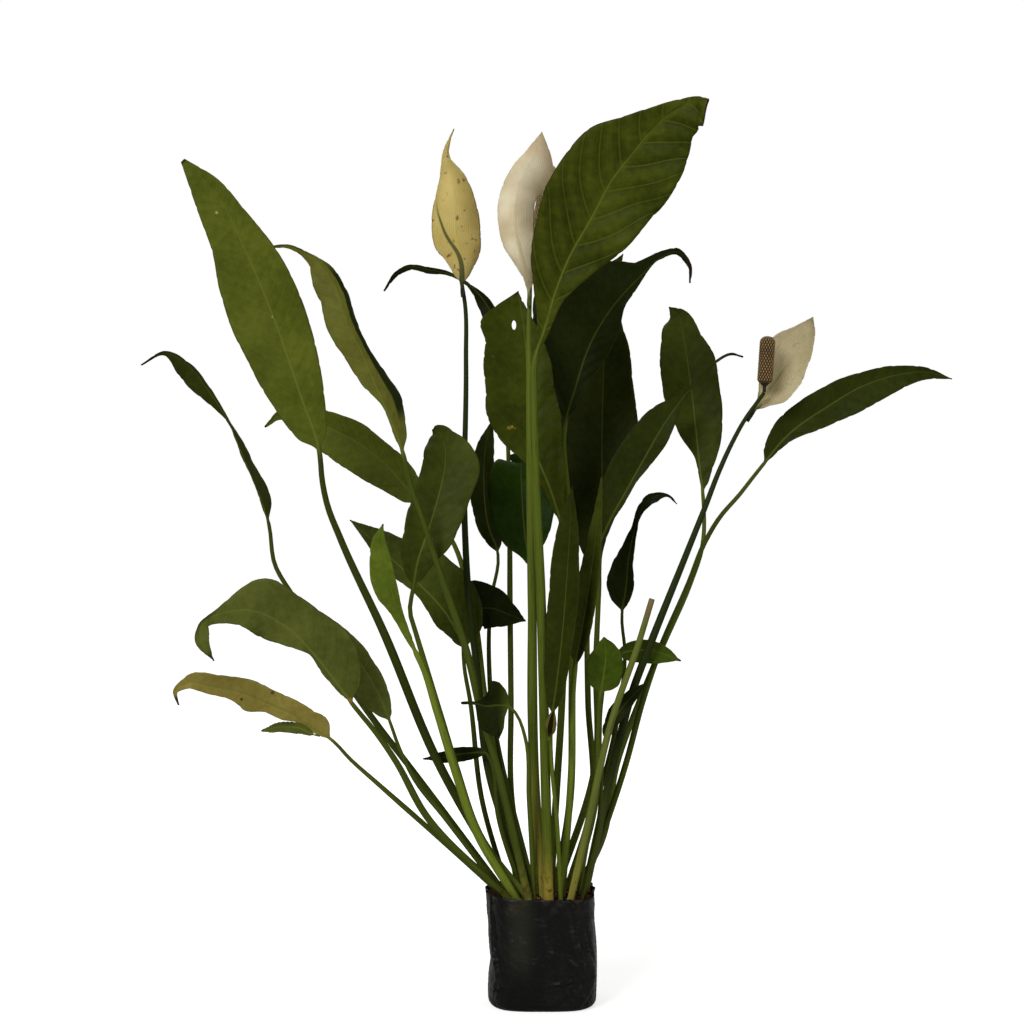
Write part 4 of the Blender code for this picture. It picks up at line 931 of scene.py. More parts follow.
add_leaf("leaf_15", (36, -10), [(57, 239), (60, 299), (66, 330)],
         [(75, 343, 16), (95, 349, 17), (115, 347, 18), (128, 343, 19), (139, 338, 20)],
         "vivid", "leaf_bright", tone=0.4, left=11, right=14, stalk=(2.2, 1.5), wave=1.0, veins=9.0)
add_leaf("leaf_16", (28, -20), [(54, 199), (57, 270)],
         [(59, 306, -36), (62, 326, -38), (64, 345, -40), (62, 362, -44)],
         "vivid", "leaf_bright", tone=0.4, left=(2, 11, 16, 17, 18, 18, 17, 15, 12, 7, 0),
         right=(2, 11, 17, 19, 20, 20, 19, 17, 13, 8, 0), stalk=(2.8, 2.5), roll=10, wave=1.2,
         veins=9.0)
add_leaf("leaf_17", (39, -18), [(57, 180), (60, 225)],
         [(63, 258, -22), (76, 285, -18), (90, 302, -14), (106, 318, -10)],
         "deep", "leaf_dark", tone=0.3, left=10, right=8, stalk=(2.2, 1.4), roll=20, wave=1.0,
         veins=9.0)
add_leaf("leaf_18", (19, -22), [(30, 243), (31, 308)],
         [(33, 330, -36), (41, 372, -37), (50, 430, -38), (57, 490, -40), (60, 525, -42)],
         "plain", "leaf_mid", tone=0.9, left=(2, 8, 12, 14, 14, 12, 10, 8, 5, 3, 0),
         right=(2, 9, 13, 14, 13, 12, 10, 8, 5, 3, 0), stalk=(3.6, 2.6), roll=20, fold=25, wave=0.8,
         veins=9.0)
add_leaf("leaf_19", (18, -37), [(14, 190), (10, 230), (9, 262)],
         [(10, 280, -56), (14, 309, -56), (20, 359, -56), (25, 419, -56), (28, 470, -56), (30, 512, -56)],
         "dark", "leaf_dark", tone=0.6, left=(2, 9, 14, 16, 17, 17, 17, 16, 13, 8, 0),
         right=(2, 9, 13, 15, 16, 17, 17, 15, 12, 7, 0), stalk=(2.2, 1.5), roll=20, fold=20, wave=1.0,
         veins=9.0)
add_leaf("leaf_27", (34, 20), [(59, 156), (76, 239), (98, 299), (120, 352), (148, 415), (160, 451)],
         [(161, 503, 84), (158, 529, 88), (154, 569, 96), (148, 619, 108), (142, 659, 118),
          (136, 684, 128), (127, 692, 134)],
         "plain", "leaf_mid", tone=0.42, left=(1, 2, 5, 17, 24, 30, 31, 29, 25, 18, 0),
         right=(2, 11, 21, 28, 30, 30, 31, 29, 20, 12, 0), stalk=(3.4, 2.0), wave=2.0)
add_leaf("leaf_28", (40, 8), [(85, 239), (101, 299), (116, 344), (148, 419), (162, 455), (178, 482),
          (198, 505), (212, 523)],
         [(220, 533, 42), (246, 564, 44), (285, 592, 44), (321, 613, 42), (355, 624, 38),
          (384, 627, 34), (410, 620, 28)],
         "dark", "leaf_mid", tone=0.35, left=(4, 12, 19, 20, 20, 18, 14, 12, 8, 4, 0),
         right=(2, 4, 9, 16, 20, 23, 23, 19, 13, 7, 0), stalk=(3.2, 1.9), roll=(12, 5, 5), fold=8,
         wave=1.5, waves=3.5)

# %% [markdown]
# ## The blooms
#
# A bloom has three parts. The spathe is a hood, one leaf of cream parchment, drawn out to a point,
# with veins that run lengthwise. The spadix stands before it: a club covered with small knobs, each
# a flower, set in crossing spirals. The stalk is round, smooth and green. The spathe uses the leaf's
# surface without its quilting, and the club is a tube whose radius carries the knobs.

# %% Finishes of the blooms
def stalk_finish(name, green, foot, cut=None):
    """A flower stalk: green with fine lengthwise streaks, turning yellow and flecked at the soil."""
    finish, shader, start = new_finish(name, Specular_IOR_Level=0.06)
    across, along, under = carried(start, "spot")
    reach, t, rise = carried(start, "share")
    place = own_place(start)
    streaks = start.node("ShaderNodeCombineXYZ", None, {0: across * 0.9, 1: along * 0.02, 2: under})
    streaks = streaks.noise(1.0)
    colour = rise.ease(0.0, 0.30).blend(foot, green)
    colour = (streaks.ease(0.40, 0.75) * 0.45).blend(colour, STALK_DARK)
    flecks = place.stretched(1.0, 1.0, 0.4).spots(300.0, 0.36) * (rise.ease(0.22, 0.02) * 0.8 + 0.06)
    colour = (flecks * 0.8).blend(colour, FLECK)
    if cut:
        colour = rise.ease(0.90, 0.985).blend(colour, cut)
    feed(shader, Base_Color=colour, Roughness=streaks * 0.2 + 0.34,
         Normal=bump(streaks + place.noise(240.0) * 0.6, 0.0003, 0.7))
    return finish


def spathe_finish(name, cream, shade, rib, foot, flecks=0.0, bend=0.0):
    """Thin parchment with lengthwise veins, a foot as green as the stalk, a midrib that bends off to
    the left by bend mm and, on an old one, brown flecks."""
    finish, shader, start = new_finish(name, Specular_IOR_Level=0.3, Subsurface_Weight=0.12,
                                       Subsurface_Scale=0.004)
    across, along, under = carried(start, "spot")
    reach, t, rise = carried(start, "share")
    place = own_place(start)
    veins = (reach * 13.0).lines(1.0, 0.26)
    clouds = place.noise(32.0, 4.0)
    # Cloudy cream, with veins in the shade's colour and a shaded right side
    colour = (clouds * 1.2 - 0.1).ease(0.2, 0.9).blend(cream, shade)
    colour = (veins * 0.22).blend(colour, shade)
    colour = (reach.ease(0.05, 0.75) * t.ease(0.35, 0.80) * 0.55).blend(colour, shade)
    # The midrib, the green foot, the point and the flecks
    off_rib = abs(across + t.ease(0.10, 0.52) * bend)
    colour = ((off_rib + t * 4.0).ease(3.6, 2.3) * t.ease(0.62, 0.38) * 0.9).blend(colour, rib)
    colour = along.ease(9.0, -3.0).blend(colour, foot)
    colour = (t.ease(0.90, 1.0) * 0.7).blend(colour, rib)
    brown = place.noise(150.0, 3.0).ease(0.62, 0.70) * flecks
    colour = (brown + abs(reach).ease(0.95, 1.0) * flecks * 0.6).blend(colour, paint(120, 84, 44))
    feed(shader, Base_Color=colour, Roughness=clouds * 0.25 + 0.42,
         Normal=bump(veins + place.noise(90.0) * 0.8, 0.0003, 0.8))
    return finish


def spadix_finish(name, knob, valley, tip):
    """Knobs with a pale top and a darker valley, and a dark dot where each flower opened."""
    finish, shader, start = new_finish(name, Specular_IOR_Level=0.3)
    height, around, rise = carried(start, "spot")
    place = own_place(start)
    colour = height.ease(0.45, 0.92).blend(valley, knob)
    colour = (height.ease(0.90, 0.99) * 0.55).blend(colour, tip)
    colour = ((place.noise(70.0, 3.0)).ease(0.45, 0.7) * 0.35).blend(colour, valley)
    feed(shader, Base_Color=colour, Roughness=0.62 - height * 0.1, Normal=bump(place.noise(900.0), 0.0002))
    return finish


print("finishes before the blooms' own:", len(bpy.data.materials))

# %% The blooms' finishes
FLOWER_STALK = stalk_finish("flower_stalk_green", paint(90, 102, 32), paint(140, 130, 56))
FLOWER_STALK_DARK = stalk_finish("flower_stalk_dark", paint(38, 48, 15), paint(88, 92, 36))
CUT_STALK = stalk_finish("cut_stalk", paint(102, 110, 46), paint(144, 136, 58), cut=paint(118, 102, 66))
SPATHE_CREAM = spathe_finish("spathe_cream", paint(240, 228, 196), paint(198, 176, 134),
                             paint(206, 192, 148), paint(90, 102, 32))
SPATHE_OLD = spathe_finish("spathe_old_yellow", paint(208, 186, 110), paint(178, 160, 84),
                           paint(62, 74, 26), paint(42, 46, 18), flecks=0.9, bend=19.0)
SPATHE_FADED = spathe_finish("spathe_faded", paint(200, 188, 148), paint(166, 154, 110),
                             paint(150, 142, 92), paint(42, 46, 18), flecks=0.3)
SPADIX_CREAM = spadix_finish("spadix_cream", paint(255, 246, 206), paint(206, 176, 112), paint(236, 216, 160))
SPADIX_BROWN = spadix_finish("spadix_brown", paint(160, 122, 62), paint(104, 72, 32), paint(74, 46, 22))
SPADIX_DRY = spadix_finish("spadix_dry", paint(150, 118, 66), paint(40, 27, 14), paint(172, 142, 88))
print("finishes so far:", len(bpy.data.materials))

# %% A bloom's stalk
STEM_COLUMNS = 21
STEM_ROW = 0.006
STEM_SEED = 3


def add_stem(name, root, stem, top, finish, **given):
    """A round stalk from the soil to a cut end at top. Gives its route."""
    shape = {**LEAF, **given}
    route = np.array([*stalk_route(root, stem, top), seen(*top)])
    length = np.linalg.norm(np.diff(route, axis=0), axis=1).sum()
    distances = np.linspace(0.0, length, max(8, round(length / STEM_ROW)))
    surface = leaf_surface(route, length, distances, shape, STEM_COLUMNS, np.random.default_rng(STEM_SEED))
    add_sheet(name, surface, finish, name, shape)
    return route


print("rows on a stalk of 600 mm:", round(0.6 / STEM_ROW))

# %% A bloom's club
SPADIX_RADIUS = 0.0072
SPADIX_START = 0.0004           # how far above its stalk's end the club begins
SPADIX_ROW = 0.00045
SPADIX_SIDES = 132
SPADIX_SHOULDER = 0.008         # length over which the bare neck widens to the body
SHOULDER_LEAD = 0.3             # share of that length which lies below the neck's end
NECK_SHARE = 0.9                # of the stalk's thickness
DOME_SHARE = 0.9                # height of the round top, as a share of the radius
POLE_SHARE = 0.06               # what is left of the radius at the very top
KNOBS_AROUND = 8
KNOB_RISE = 0.0054              # height of one turn of the pattern
KNOB_HEIGHT = 0.0016


def add_spadix(name, foot, top, stalk_half, neck, finish):
    """The club: its radius is a bare neck, a body and a round top, plus knobs that stand in two
    crossing spirals: a cosine of angle plus height times a cosine of angle minus height."""
    way = top - foot
    length = np.linalg.norm(way)
    way /= length
    sideways = np.cross(way, (0.0, 1.0, 0.0))
    sideways /= np.linalg.norm(sideways)
    inward = np.cross(way, sideways)
    rise = np.linspace(SPADIX_START, length, round(length / SPADIX_ROW))[:, None]
    around = np.arange(SPADIX_SIDES)[None, :] * 2.0 * math.pi / SPADIX_SIDES
    body = smooth_step(np.clip((rise - neck * MM) / SPADIX_SHOULDER + SHOULDER_LEAD, 0.0, 1.0))
    dome_high = DOME_SHARE * SPADIX_RADIUS
    into_dome = np.clip(rise - (length - dome_high), 0.0, None) / dome_high
    dome = np.sqrt(np.clip(1.0 - into_dome**2, 0.0, 1.0))
    neck_half = stalk_half * NECK_SHARE
    core = neck_half + (SPADIX_RADIUS - KNOB_HEIGHT * 0.5 - neck_half) * body
    turn_up = 2.0 * math.pi * rise / KNOB_RISE
    first = np.cos(0.5 * (KNOBS_AROUND * 2 * around + turn_up))
    second = np.cos(0.5 * (KNOBS_AROUND * 2 * around - turn_up))
    knob = np.sqrt(np.abs(first * second))
    radius = (core + KNOB_HEIGHT * knob * body) * np.maximum(dome, POLE_SHARE)
    points = (foot + rise[..., None] * way + (radius * np.cos(around))[..., None] * sideways
              + (radius * np.sin(around))[..., None] * inward)
    numbers = np.stack((knob * body, around + 0.0 * knob, rise / length + 0.0 * knob), axis=-1)
    add_piece(name, points.reshape(-1, 3), tube_faces(len(rise), SPADIX_SIDES), finish, name,
              {"spot": numbers.reshape(-1, 3)})


# %% A whole bloom
SPATHE_COLUMNS = 41
SPATHE_ROWS = (0.002, 0.0016)   # how far apart the rows lie on its foot and on its blade
SPATHE = {**LEAF, "stalk": (2.2, 1.7), "sheath": 0.5, "wave": 1.0, "quilt": 0.0}


def add_bloom(name, root, stem, top, stalk, spathe_places, spathe, spadix, finishes):
    """One bloom: its stalk, the spathe beside the stalk's end, and the spadix: its top and the
    length of its bare neck."""
    route = add_stem(f"{name}_stalk", root, stem, top, finishes[0], stalk=stalk, sheath=0.5)
    places = np.array([seen(*place) for place in spathe_places])
    shape = {**SPATHE, **spathe}
    chords = np.linalg.norm(np.diff(places, axis=0), axis=1)
    distances = rows_for(0.0, chords[0], chords.sum(), *SPATHE_ROWS)
    rng = np.random.default_rng(int(name.split("_")[1]))
    surface = leaf_surface(places, chords[0], distances, shape, SPATHE_COLUMNS, rng)
    add_sheet(f"{name}_spathe", surface, finishes[1], f"{name}_spathe", shape)
    spadix_top = np.array(seen(*spadix[0]))
    add_spadix(f"{name}_spadix", route[-1], spadix_top, stalk[1] * MM, spadix[1], finishes[2])


# %% The three blooms and the cut stub
add_bloom("bloom_1", (-12, -4),
          [(-54, 229), (-66, 339), (-72, 386), (-77, 467), (-76, 639), (-77, 695)],
          (-81, 720, 8), (3.8, 2.0),
          [(-79, 702, 3.0), (-80, 712, 2.5), (-80, 726, -3), (-81, 745, -8), (-86, 767, -10),
           (-87, 786, -10), (-90, 819, -6), (-96, 847, 4), (-93, 858, 8), (-88, 870, 12)],
          {"left": (2, 12, 22, 28, 27, 24, 19, 13, 5, 2, 0),
           "right": (2, 12, 22, 28, 28, 25, 20, 13, 5, 2, 0),
           "roll": 0, "fold": -6, "cup": -40, "drip": (0.12, 1.6)},
          ((-84, 782, 28), 5.0), (FLOWER_STALK_DARK, SPATHE_OLD, SPADIX_BROWN))
add_bloom("bloom_2", (2, -28), [(-6, 199), (-10, 399), (-13, 599), (-13, 670)],
          (-12, 714, -40), (4.8, 2.2),
          [(-13, 693, -44.3), (-13, 703, -45.2), (-15, 718, -53), (-20, 742, -61), (-27, 774, -63),
           (-24, 812, -58), (-8, 844, -48), (0, 867, -42)],
          {"left": (2, 3, 10, 16, 18, 19, 18, 15, 13, 8, 0),
           "right": (2, 8, 14, 18, 20, 21, 23, 28, 31, 18, 0),
           "roll": 0, "fold": -6, "cup": -40},
          ((8, 834, -14), 18.0), (FLOWER_STALK, SPATHE_CREAM, SPADIX_CREAM))
add_bloom("bloom_3", (42, -3),
          [(76, 254), (91, 309), (108, 354), (144, 444), (162, 489), (178, 530), (191, 558),
           (202, 578)],
          (222, 606, 20), (4.3, 1.9),
          [(205, 578, 23.1), (212, 588, 23.9), (222, 602, 31), (234, 619, 36), (250, 642, 38),
           (263, 664, 37), (271, 682, 34)],
          {"left": (2, 5, 11, 20, 28, 33, 33, 28, 20, 11, 0),
           "right": (2, 10, 21, 24, 25, 24, 20, 17, 13, 8, 0),
           "roll": 0, "fold": 6, "cup": 34},
          ((226, 663, 14), 8.0), (FLOWER_STALK_DARK, SPATHE_FADED, SPADIX_DRY))
add_stem("cut_stub", (27, -33), [(48, 185), (69, 276), (98, 360)], (110, 400, -60), CUT_STALK,
         stalk=(3.6, 3.0), sheath=0.5)

# %% [markdown]
# ### Two dry scraps
#
# A flower bud dried up beside a thin stalk, and a strip of the yellowing leaf is torn off along its
# margin. They are too small for solids of their own.

# %% Dry scraps
DRY_SCRAP = leaf_finish("dry_scrap", paint(70, 64, 20), paint(116, 110, 46), paint(92, 84, 36))
SCRAP = {**LEAF, "stalk": (0.9, 0.8), "wave": 0.6, "quilt": 0.1}
SCRAP_ROWS = (0.002, 0.001)
SCRAP_SEED = 9
for name, places, left, right, cup, finish in (
        ("dried_bud", [(6, 258, -60), (7, 262, -60), (9, 276, -61), (12, 291, -61)],
         (1, 12, 16, 14, 7, 0), (1, 12, 15, 13, 7, 0), 140, DRY_SCRAP),
        ("torn_strip", [(-222, 263, -84), (-227, 264, -85), (-243, 271, -87), (-262, 272, -89),
                        (-281, 268, -91)],
         (1, 4, 6, 6, 5, 4, 0), (1, 4, 5, 5, 5, 3, 0), 20, FINISHES["dull"])):
    scrap_route = np.array([seen(*place) for place in places])
    reach = np.linalg.norm(np.diff(scrap_route, axis=0), axis=1)
    shape = {**SCRAP, "left": left, "right": right, "cup": cup}
    distances = rows_for(0.0, reach[0], reach.sum(), *SCRAP_ROWS)
    surface = leaf_surface(scrap_route, reach[0], distances, shape, shape["columns"],
                           np.random.default_rng(SCRAP_SEED))
    add_sheet(name, surface, finish, None, shape)

# %% [markdown]
# ## The bag
#
# A nursery bag is a tube of black film, filled and set down, so it is nearly a square block. Its film
# is loose: it creases where it was folded flat, bulges over the lumps in the soil, and its cut rim
# wanders. Film this thin could be simulated as cloth over a filling. A sum of folds is quicker and
# lets each visible crease be placed. A fold is a ridge along a short line on the unrolled film: it
# fades to both ends and to both sides. The few large ones are listed one by one, and many small ones
# are strewn at random.

# %% The bag's outline
BAG_RADIUS = 0.0535
BAG_HEIGHT = 0.110
BAG_FILM = 0.0006
BAG_BASE_RADIUS = 0.048
BAG_BASE_ROUND = 0.006
BAG_SQUARE = 3.4                # 2 would be round, more is squarer
BAG_BELLY = 0.0012
BAG_FOLDS = 0.0009
# A dent's angle round the bag, its height, its depth, and how wide and how high it is
BAG_DENTS = ((math.pi, 0.042, -0.0070, 0.45, 0.014), (math.pi, 0.106, 0.0030, 0.50, 0.020),
             (0.0, 0.100, -0.0025, 0.50, 0.035))
RIM_WANDER = 0.0016


def turned_from(angle, at_angle):
    """How far an angle lies round from another, between minus and plus half a turn."""
    return np.mod(angle - at_angle + math.pi, 2.0 * math.pi) - math.pi


def bag_radius(angle, height):
    """Outer radius of the bag: a rounded square, nearly upright, rounded in to the base, fuller low
    down, with shallow upright folds and a few broad dents."""
    base = np.clip(height / BAG_BASE_ROUND, 0.0, 1.0)
    rounding = BAG_BASE_RADIUS + (BAG_RADIUS - BAG_BASE_RADIUS) * np.sqrt(1.0 - (1.0 - base) ** 2)
    square = np.abs(np.cos(angle)) ** BAG_SQUARE + np.abs(np.sin(angle)) ** BAG_SQUARE
    corner = square ** (-1.0 / BAG_SQUARE)
    share = height / BAG_HEIGHT
    wander = BAG_BELLY * np.sin(math.pi * np.clip(share * 1.4, 0.0, 1.0))
    wander = wander + BAG_FOLDS * share * (np.sin(5 * angle + 0.6) + 0.7 * np.sin(9 * angle + 2.0))
    for at_angle, at_height, depth, wide, high in BAG_DENTS:
        off = turned_from(angle, at_angle)
        wander = wander + depth * np.exp(-(off / wide) ** 2 - ((height - at_height) / high) ** 2)
    return rounding * corner + wander * base


def rim_height(angle):
    """Height of the cut rim, which is not level."""
    return BAG_HEIGHT + RIM_WANDER * (0.6 * np.sin(2 * angle + 0.4) + 0.4 * np.sin(5 * angle + 1.7))


print("the bag's radius halfway up, front and corner, in mm:",
      (bag_radius(np.array((-0.5, -0.25)) * math.pi, np.array(0.055)) / MM).round(1))


# %% Folds
SMALL_FOLDS = 46
FOLD_SEED = 7


def crease(angle, height, at_angle, at_height, lean, length, width, depth):
    """One fold on the film: a ridge of depth metres, width and length metres in size, that leans
    by an angle from upright. Its profile is a ridge with a dent on one side."""
    off = turned_from(angle, at_angle) * BAG_RADIUS
    up = height - at_height
    along = (up * math.cos(lean) + off * math.sin(lean)) / length
    beside = (off * math.cos(lean) - up * math.sin(lean)) / width
    return depth * np.exp(-along**2 - beside**2) * (1.0 - 1.2 * beside)


def front_angle(across):
    """The angle round the bag of a place that shows across mm right of its middle."""
    share = across * MM / BAG_RADIUS
    return math.atan2(-((1.0 - abs(share) ** BAG_SQUARE) ** (1.0 / BAG_SQUARE)), share)


rng = np.random.default_rng(FOLD_SEED)
# A fold's angle and height, its lean, its length, width and depth
FOLDS = [
    (front_angle(-48), 0.078, -0.16, 0.030, 0.0024, 0.0022),
    (front_angle(-44), 0.045, -0.25, 0.018, 0.0030, 0.0022),
    (front_angle(-45), 0.026, 0.35, 0.012, 0.0020, 0.0013),
    (front_angle(-42), 0.020, 1.45, 0.008, 0.0016, -0.0014),
    (front_angle(-26), 0.045, -0.75, 0.007, 0.0016, 0.0010),
    (front_angle(-22), 0.066, 0.04, 0.036, 0.0090, 0.0022),
    (front_angle(18), 0.028, 1.35, 0.010, 0.0018, 0.0018),
    (front_angle(27), 0.027, 0.60, 0.004, 0.0018, -0.0012),
    (front_angle(38), 0.027, 0.50, 0.004, 0.0018, -0.0012),
    (front_angle(8), 0.074, 0.12, 0.030, 0.0050, -0.0008),
    (front_angle(30), 0.070, -0.20, 0.028, 0.0030, 0.0010),
    (front_angle(47), 0.062, -0.35, 0.026, 0.0024, -0.0014),
    (front_angle(50), 0.030, 0.10, 0.016, 0.0070, 0.0022),
]
for _ in range(SMALL_FOLDS):
    FOLDS.append((rng.uniform(-math.pi, math.pi), rng.uniform(0.012, 0.100), rng.normal(0.0, 0.7),
                  rng.uniform(0.006, 0.022), rng.uniform(0.0016, 0.0050), rng.uniform(-0.0010, 0.0010)))
print("folds:", len(FOLDS))

# %% The bag's film
BAG_COLUMNS = 360
BAG_ROWS = 96
FIRST_ROW = 0.0003              # height of the first row of the wall
ROW_CROWDING = 1.15             # power that brings the rows closer together at the base
CRINKLE = 0.00018
RIM_CURL = 0.0012
RIM_CURL_REACH = 0.003

angles = (np.arange(BAG_COLUMNS) * 2.0 * math.pi / BAG_COLUMNS)[None, :]
climb = np.linspace(0.0, 1.0, BAG_ROWS)[:, None] ** ROW_CROWDING
heights = FIRST_ROW + (rim_height(angles) - FIRST_ROW) * climb
film = bag_radius(angles, heights)
for fold in FOLDS:
    film = film + crease(angles, heights, *fold) * np.clip(heights / BAG_BASE_ROUND, 0.0, 1.0)
film = film + CRINKLE * np.sin(31.0 * angles + 900.0 * heights) * np.sin(17.0 * angles - 420.0 * heights)
below_rim = rim_height(angles) - heights
film = film + RIM_CURL * np.exp(-below_rim / RIM_CURL_REACH) * np.sin(13.0 * angles + 1.0)


def around_z(radii, angles, heights):
    """Points round the Z axis."""
    return np.stack((radii * np.cos(angles), radii * np.sin(angles), heights + 0.0 * angles), axis=-1)


outer = np.concatenate((around_z(film[:1] - BAG_FILM, angles, 0.0 * angles), around_z(film, angles, heights)))
inner_heights = np.maximum(heights, BAG_FILM + FIRST_ROW)
inner = np.concatenate((around_z(film[:1] - 2.0 * BAG_FILM, angles, BAG_FILM + 0.0 * angles),
                        around_z(film - BAG_FILM, angles, inner_heights)))
bag_points = np.concatenate((outer, inner[::-1]))
print("bag grid:", bag_points.shape, "widest in mm:", round(float(film.max()) * 2000, 1))

# %% [markdown]
# ### Black film
#
# The film is polyethylene with soot in it: near black and satin, with broad cloudy reflections. Soil
# has brushed it: dust lies in patches and along the rim. A paler band up the front's left part is a
# painted sheen, the lamp's reflection put into the colour. Its gloss varies more than its colour does.

# %% Black film
finish, shader, start = new_finish("black_film", Specular_IOR_Level=0.19)
place = own_place(start)
sideways, inward, height = place.parts()
dust = place.noise(46.0, 5.0).ease(0.48, 0.78) * height.ease(0.12, 0.0) * 0.8
scuffs = place.stretched(1.0, 1.0, 0.35).noise(420.0, 2.0)
rim_dust = height.ease(0.088, 0.112) * place.noise(75.0, 4.0).ease(0.45, 0.65)
# A painted sheen for the lamp's reflection, from 40 to 4 mm left of the middle, on the front alone
painted_sheen = sideways.ease(-0.040, -0.024) * sideways.ease(-0.004, -0.020) * height.ease(0.022, 0.060)
colour = (dust * 0.45).blend(paint(5, 6, 4), paint(36, 36, 27))
colour = (painted_sheen * inward.ease(0.0, -0.03) * 0.5).blend(colour, paint(44, 45, 32))
colour = (rim_dust * 0.6).blend(colour, paint(58, 46, 34))
feed(shader, Base_Color=colour, Roughness=dust * 0.3 + scuffs * 0.10 + 0.34,
     Normal=bump(scuffs * 0.5 + place.noise(120.0, 3.0) * 2.0 + place.noise(40.0, 3.0) * 10.0, 0.0005, 1.0))
add_piece("bag", bag_points.reshape(-1, 3), tube_faces(len(bag_points), BAG_COLUMNS), finish,
          "bag")

# %% [markdown]
# ## The soil
#
# Potting soil is a heap of dark crumbs, bits of bark and hair roots. A lumpy disc closes the bag,
# and a few hundred crumbs lie on it, each a rough ball with few faces. Pale roots wander over them.

# %% The soil's face
SOIL_CROWN = 0.003
SOIL_SIDES = 144
SOIL_RINGS = 60
SOIL_SIDE_ROWS = 13
SOIL_FOOT = 0.0016              # height of the soil's underside, just above the film
SOIL_SHOULDER = 0.004           # how far below its face the side ends
SOIL_GAPS = (0.0012, 0.0014)    # between the film and the soil, at its face and down its side
SOIL_WAVES = (300.0, 420.0, 560.0, 800.0, 1150.0, 1600.0, 2300.0)
WAVE_RISE = 0.28                # a wave's height for its length: quick ones are low
WAVE_SEED = 11


def soil_height(x, y):
    """Height of the soil's face: a low crown plus slow and fast waves in random directions, each
    bent by another that crosses it."""
    rng = np.random.default_rng(WAVE_SEED)
    rise = SOIL_TOP + SOIL_CROWN * (1.0 - (x * x + y * y) / BAG_RADIUS**2)
    for wave in SOIL_WAVES:
        way = rng.uniform(0.0, 2.0 * math.pi)
        phase = rng.uniform(0.0, 2.0 * math.pi)
        bend = 0.9 * np.sin(0.6 * wave * (x * math.sin(way) - y * math.cos(way)) + phase)
        rise = rise + WAVE_RISE / wave * np.sin(wave * (x * math.cos(way) + y * math.sin(way)) + phase + bend)
    return rise


turn = (np.arange(SOIL_SIDES) * 2.0 * math.pi / SOIL_SIDES)[None, :]
inset = np.linspace(1.0, 0.004, SOIL_RINGS)[:, None]
wall = bag_radius(turn, 0.0 * turn + SOIL_TOP) - BAG_FILM - SOIL_GAPS[0]
top_x, top_y = wall * inset * np.cos(turn), wall * inset * np.sin(turn)
top = np.stack((top_x, top_y, soil_height(top_x, top_y)), axis=-1)
climb = np.linspace(0.0, 1.0, SOIL_SIDE_ROWS + 1)[:-1, None]
low_heights = SOIL_FOOT + (SOIL_TOP - SOIL_SHOULDER) * climb
side = around_z(bag_radius(turn, low_heights + 0.0 * turn) - BAG_FILM - SOIL_GAPS[1], turn, low_heights)
soil_points = np.concatenate((side, top))
print("soil grid:", soil_points.shape)

# %% The soil's finish
SOIL, shader, start = new_finish("potting_soil", Specular_IOR_Level=0.2)
place = own_place(start)
lumps = place.noise(420.0, 5.0)
colour = lumps.ease(0.35, 0.7).blend(paint(34, 22, 14), paint(82, 56, 38))
colour = (place.spots(330.0, 0.22) * 0.7).blend(colour, paint(146, 122, 90))
feed(shader, Base_Color=colour, Roughness=lumps * 0.1 + 0.86,
     Normal=bump(lumps + place.noise(1500.0), 0.0012))
add_piece("soil", soil_points.reshape(-1, 3), tube_faces(len(soil_points), SOIL_SIDES), SOIL,
          "soil")

# %% Crumbs
CRUMBS = 420
CRUMB_REACH = 0.93              # how far out they lie, as a share of the bag's radius
CRUMB_SIZE = 0.0014             # the middle one's radius, and the largest one's
CRUMB_LARGEST = 0.0042
CRUMB_SPREAD = 0.45
CRUMB_STANDS = 0.35             # how far up a crumb's middle is, as a share of its radius
CRUMB_SEED = 5                  # also that of the roots, which are drawn after the crumbs


def small_ball():
    """Corners and faces of an eight-sided ball with each side split in four."""
    points = [(1, 0, 0), (-1, 0, 0), (0, 1, 0), (0, -1, 0), (0, 0, 1), (0, 0, -1)]
    faces = [(0, 2, 4), (2, 1, 4), (1, 3, 4), (3, 0, 4), (2, 0, 5), (1, 2, 5), (3, 1, 5), (0, 3, 5)]
    points = [np.array(p, dtype=float) for p in points]
    halfway = {}
    split = []
    for face in faces:
        mids = []
        for a, b in zip(face, face[1:] + face[:1]):
            key = (min(a, b), max(a, b))
            if key not in halfway:
                halfway[key] = len(points)
                points.append((points[a] + points[b]) / np.linalg.norm(points[a] + points[b]))
            mids.append(halfway[key])
        a, b, c = face
        split += [(a, mids[0], mids[2]), (mids[0], b, mids[1]), (mids[2], mids[1], c), tuple(mids)]
    return np.array(points), np.array(split)


ball, ball_faces = small_ball()
rng = np.random.default_rng(CRUMB_SEED)
way = rng.uniform(0.0, 2.0 * math.pi, CRUMBS)
far = bag_radius(way, SOIL_TOP) * CRUMB_REACH * np.sqrt(rng.uniform(0.0, 1.0, CRUMBS))
size = np.minimum(rng.lognormal(math.log(CRUMB_SIZE), CRUMB_SPREAD, CRUMBS), CRUMB_LARGEST)
x, y = far * np.cos(way), far * np.sin(way)
centres = np.stack((x, y, soil_height(x, y) + CRUMB_STANDS * size), axis=-1)
rough = rng.uniform(0.70, 1.25, (CRUMBS, len(ball), 1))
squash = rng.uniform(0.65, 1.2, (CRUMBS, 1, 3))
crumb_points = centres[:, None] + ball[None] * rough * squash * size[:, None, None]
crumb_faces = ball_faces[None] + (np.arange(CRUMBS) * len(ball))[:, None, None]
add_piece("soil_crumbs", crumb_points.reshape(-1, 3), crumb_faces.reshape(-1, 3), SOIL, None)

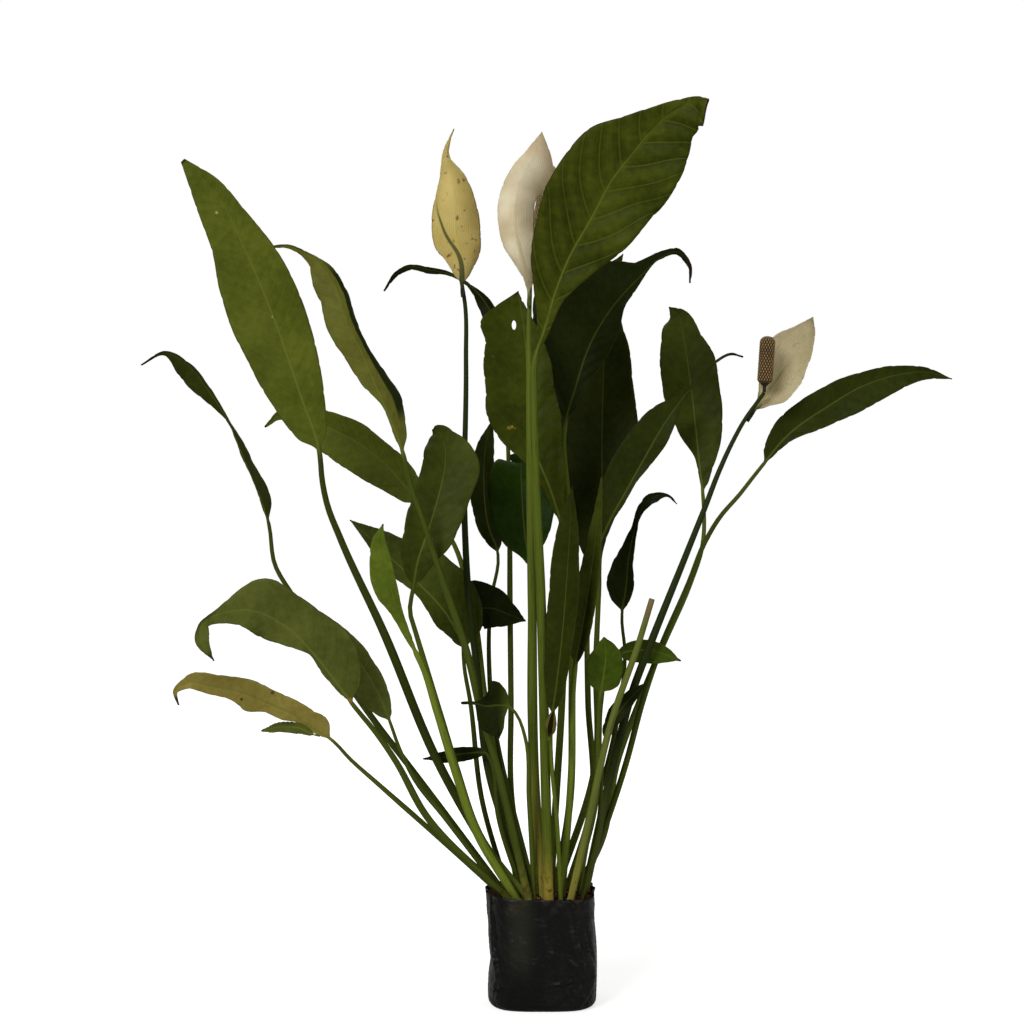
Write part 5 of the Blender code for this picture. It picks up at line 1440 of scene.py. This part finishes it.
# %% Roots
ROOTS = 26
ROOT_RINGS, ROOT_SIDES = 14, 6
ROOT_REACH = 0.8                # how far out they start, as a share of the bag's radius
ROOT_LENGTHS = (0.008, 0.026)
ROOT_HALVES = (0.00025, 0.0007)
ROOT_BEND = 1.4
ROOT_LIES = 0.0012              # height over the soil, and how much it changes along a root
ROOT_SWAY = 0.0008
ROOT_TAPER = 0.6

finish, shader, start = new_finish("root_bits", Specular_IOR_Level=0.25, Roughness=0.75)
place = own_place(start)
feed(shader, Base_Color=place.noise(300.0).ease(0.3, 0.7).blend(paint(112, 84, 54), paint(186, 160, 120)),
     Normal=bump(place.noise(1800.0), 0.0003))
u = np.linspace(0.0, 1.0, ROOT_RINGS)
root_points, root_faces = [], []
for k in range(ROOTS):
    far = BAG_RADIUS * ROOT_REACH * math.sqrt(rng.uniform())
    way, turn_to = rng.uniform(0, 6.28, 2)
    length, bend, thick = rng.uniform(*ROOT_LENGTHS), rng.normal(0.0, ROOT_BEND), rng.uniform(*ROOT_HALVES)
    heading = turn_to + bend * u
    x = far * math.cos(way) + np.cumsum(np.cos(heading)) * length / ROOT_RINGS
    y = far * math.sin(way) + np.cumsum(np.sin(heading)) * length / ROOT_RINGS
    inside = np.minimum(1.0, BAG_RADIUS * CRUMB_REACH / np.maximum(np.hypot(x, y), 1e-6))
    x, y = x * inside, y * inside
    z = soil_height(x, y) + ROOT_LIES + ROOT_SWAY * np.sin(6.0 * u + k)
    middle = np.stack((x, y, z), axis=-1)
    side = np.stack((-np.sin(heading), np.cos(heading), 0.0 * u), axis=-1)
    spin = np.arange(ROOT_SIDES) * 2.0 * math.pi / ROOT_SIDES
    ring = thick * (np.cos(spin)[None, :, None] * side[:, None]
                    + np.sin(spin)[None, :, None] * np.array((0, 0, 1.0)))
    root_points.append((middle[:, None] + ring * (1.0 - ROOT_TAPER * u)[:, None, None]).reshape(-1, 3))
    for face in tube_faces(ROOT_RINGS, ROOT_SIDES):
        root_faces.append([i + k * ROOT_RINGS * ROOT_SIDES for i in face])
add_piece("soil_roots", np.concatenate(root_points), root_faces, finish, None)
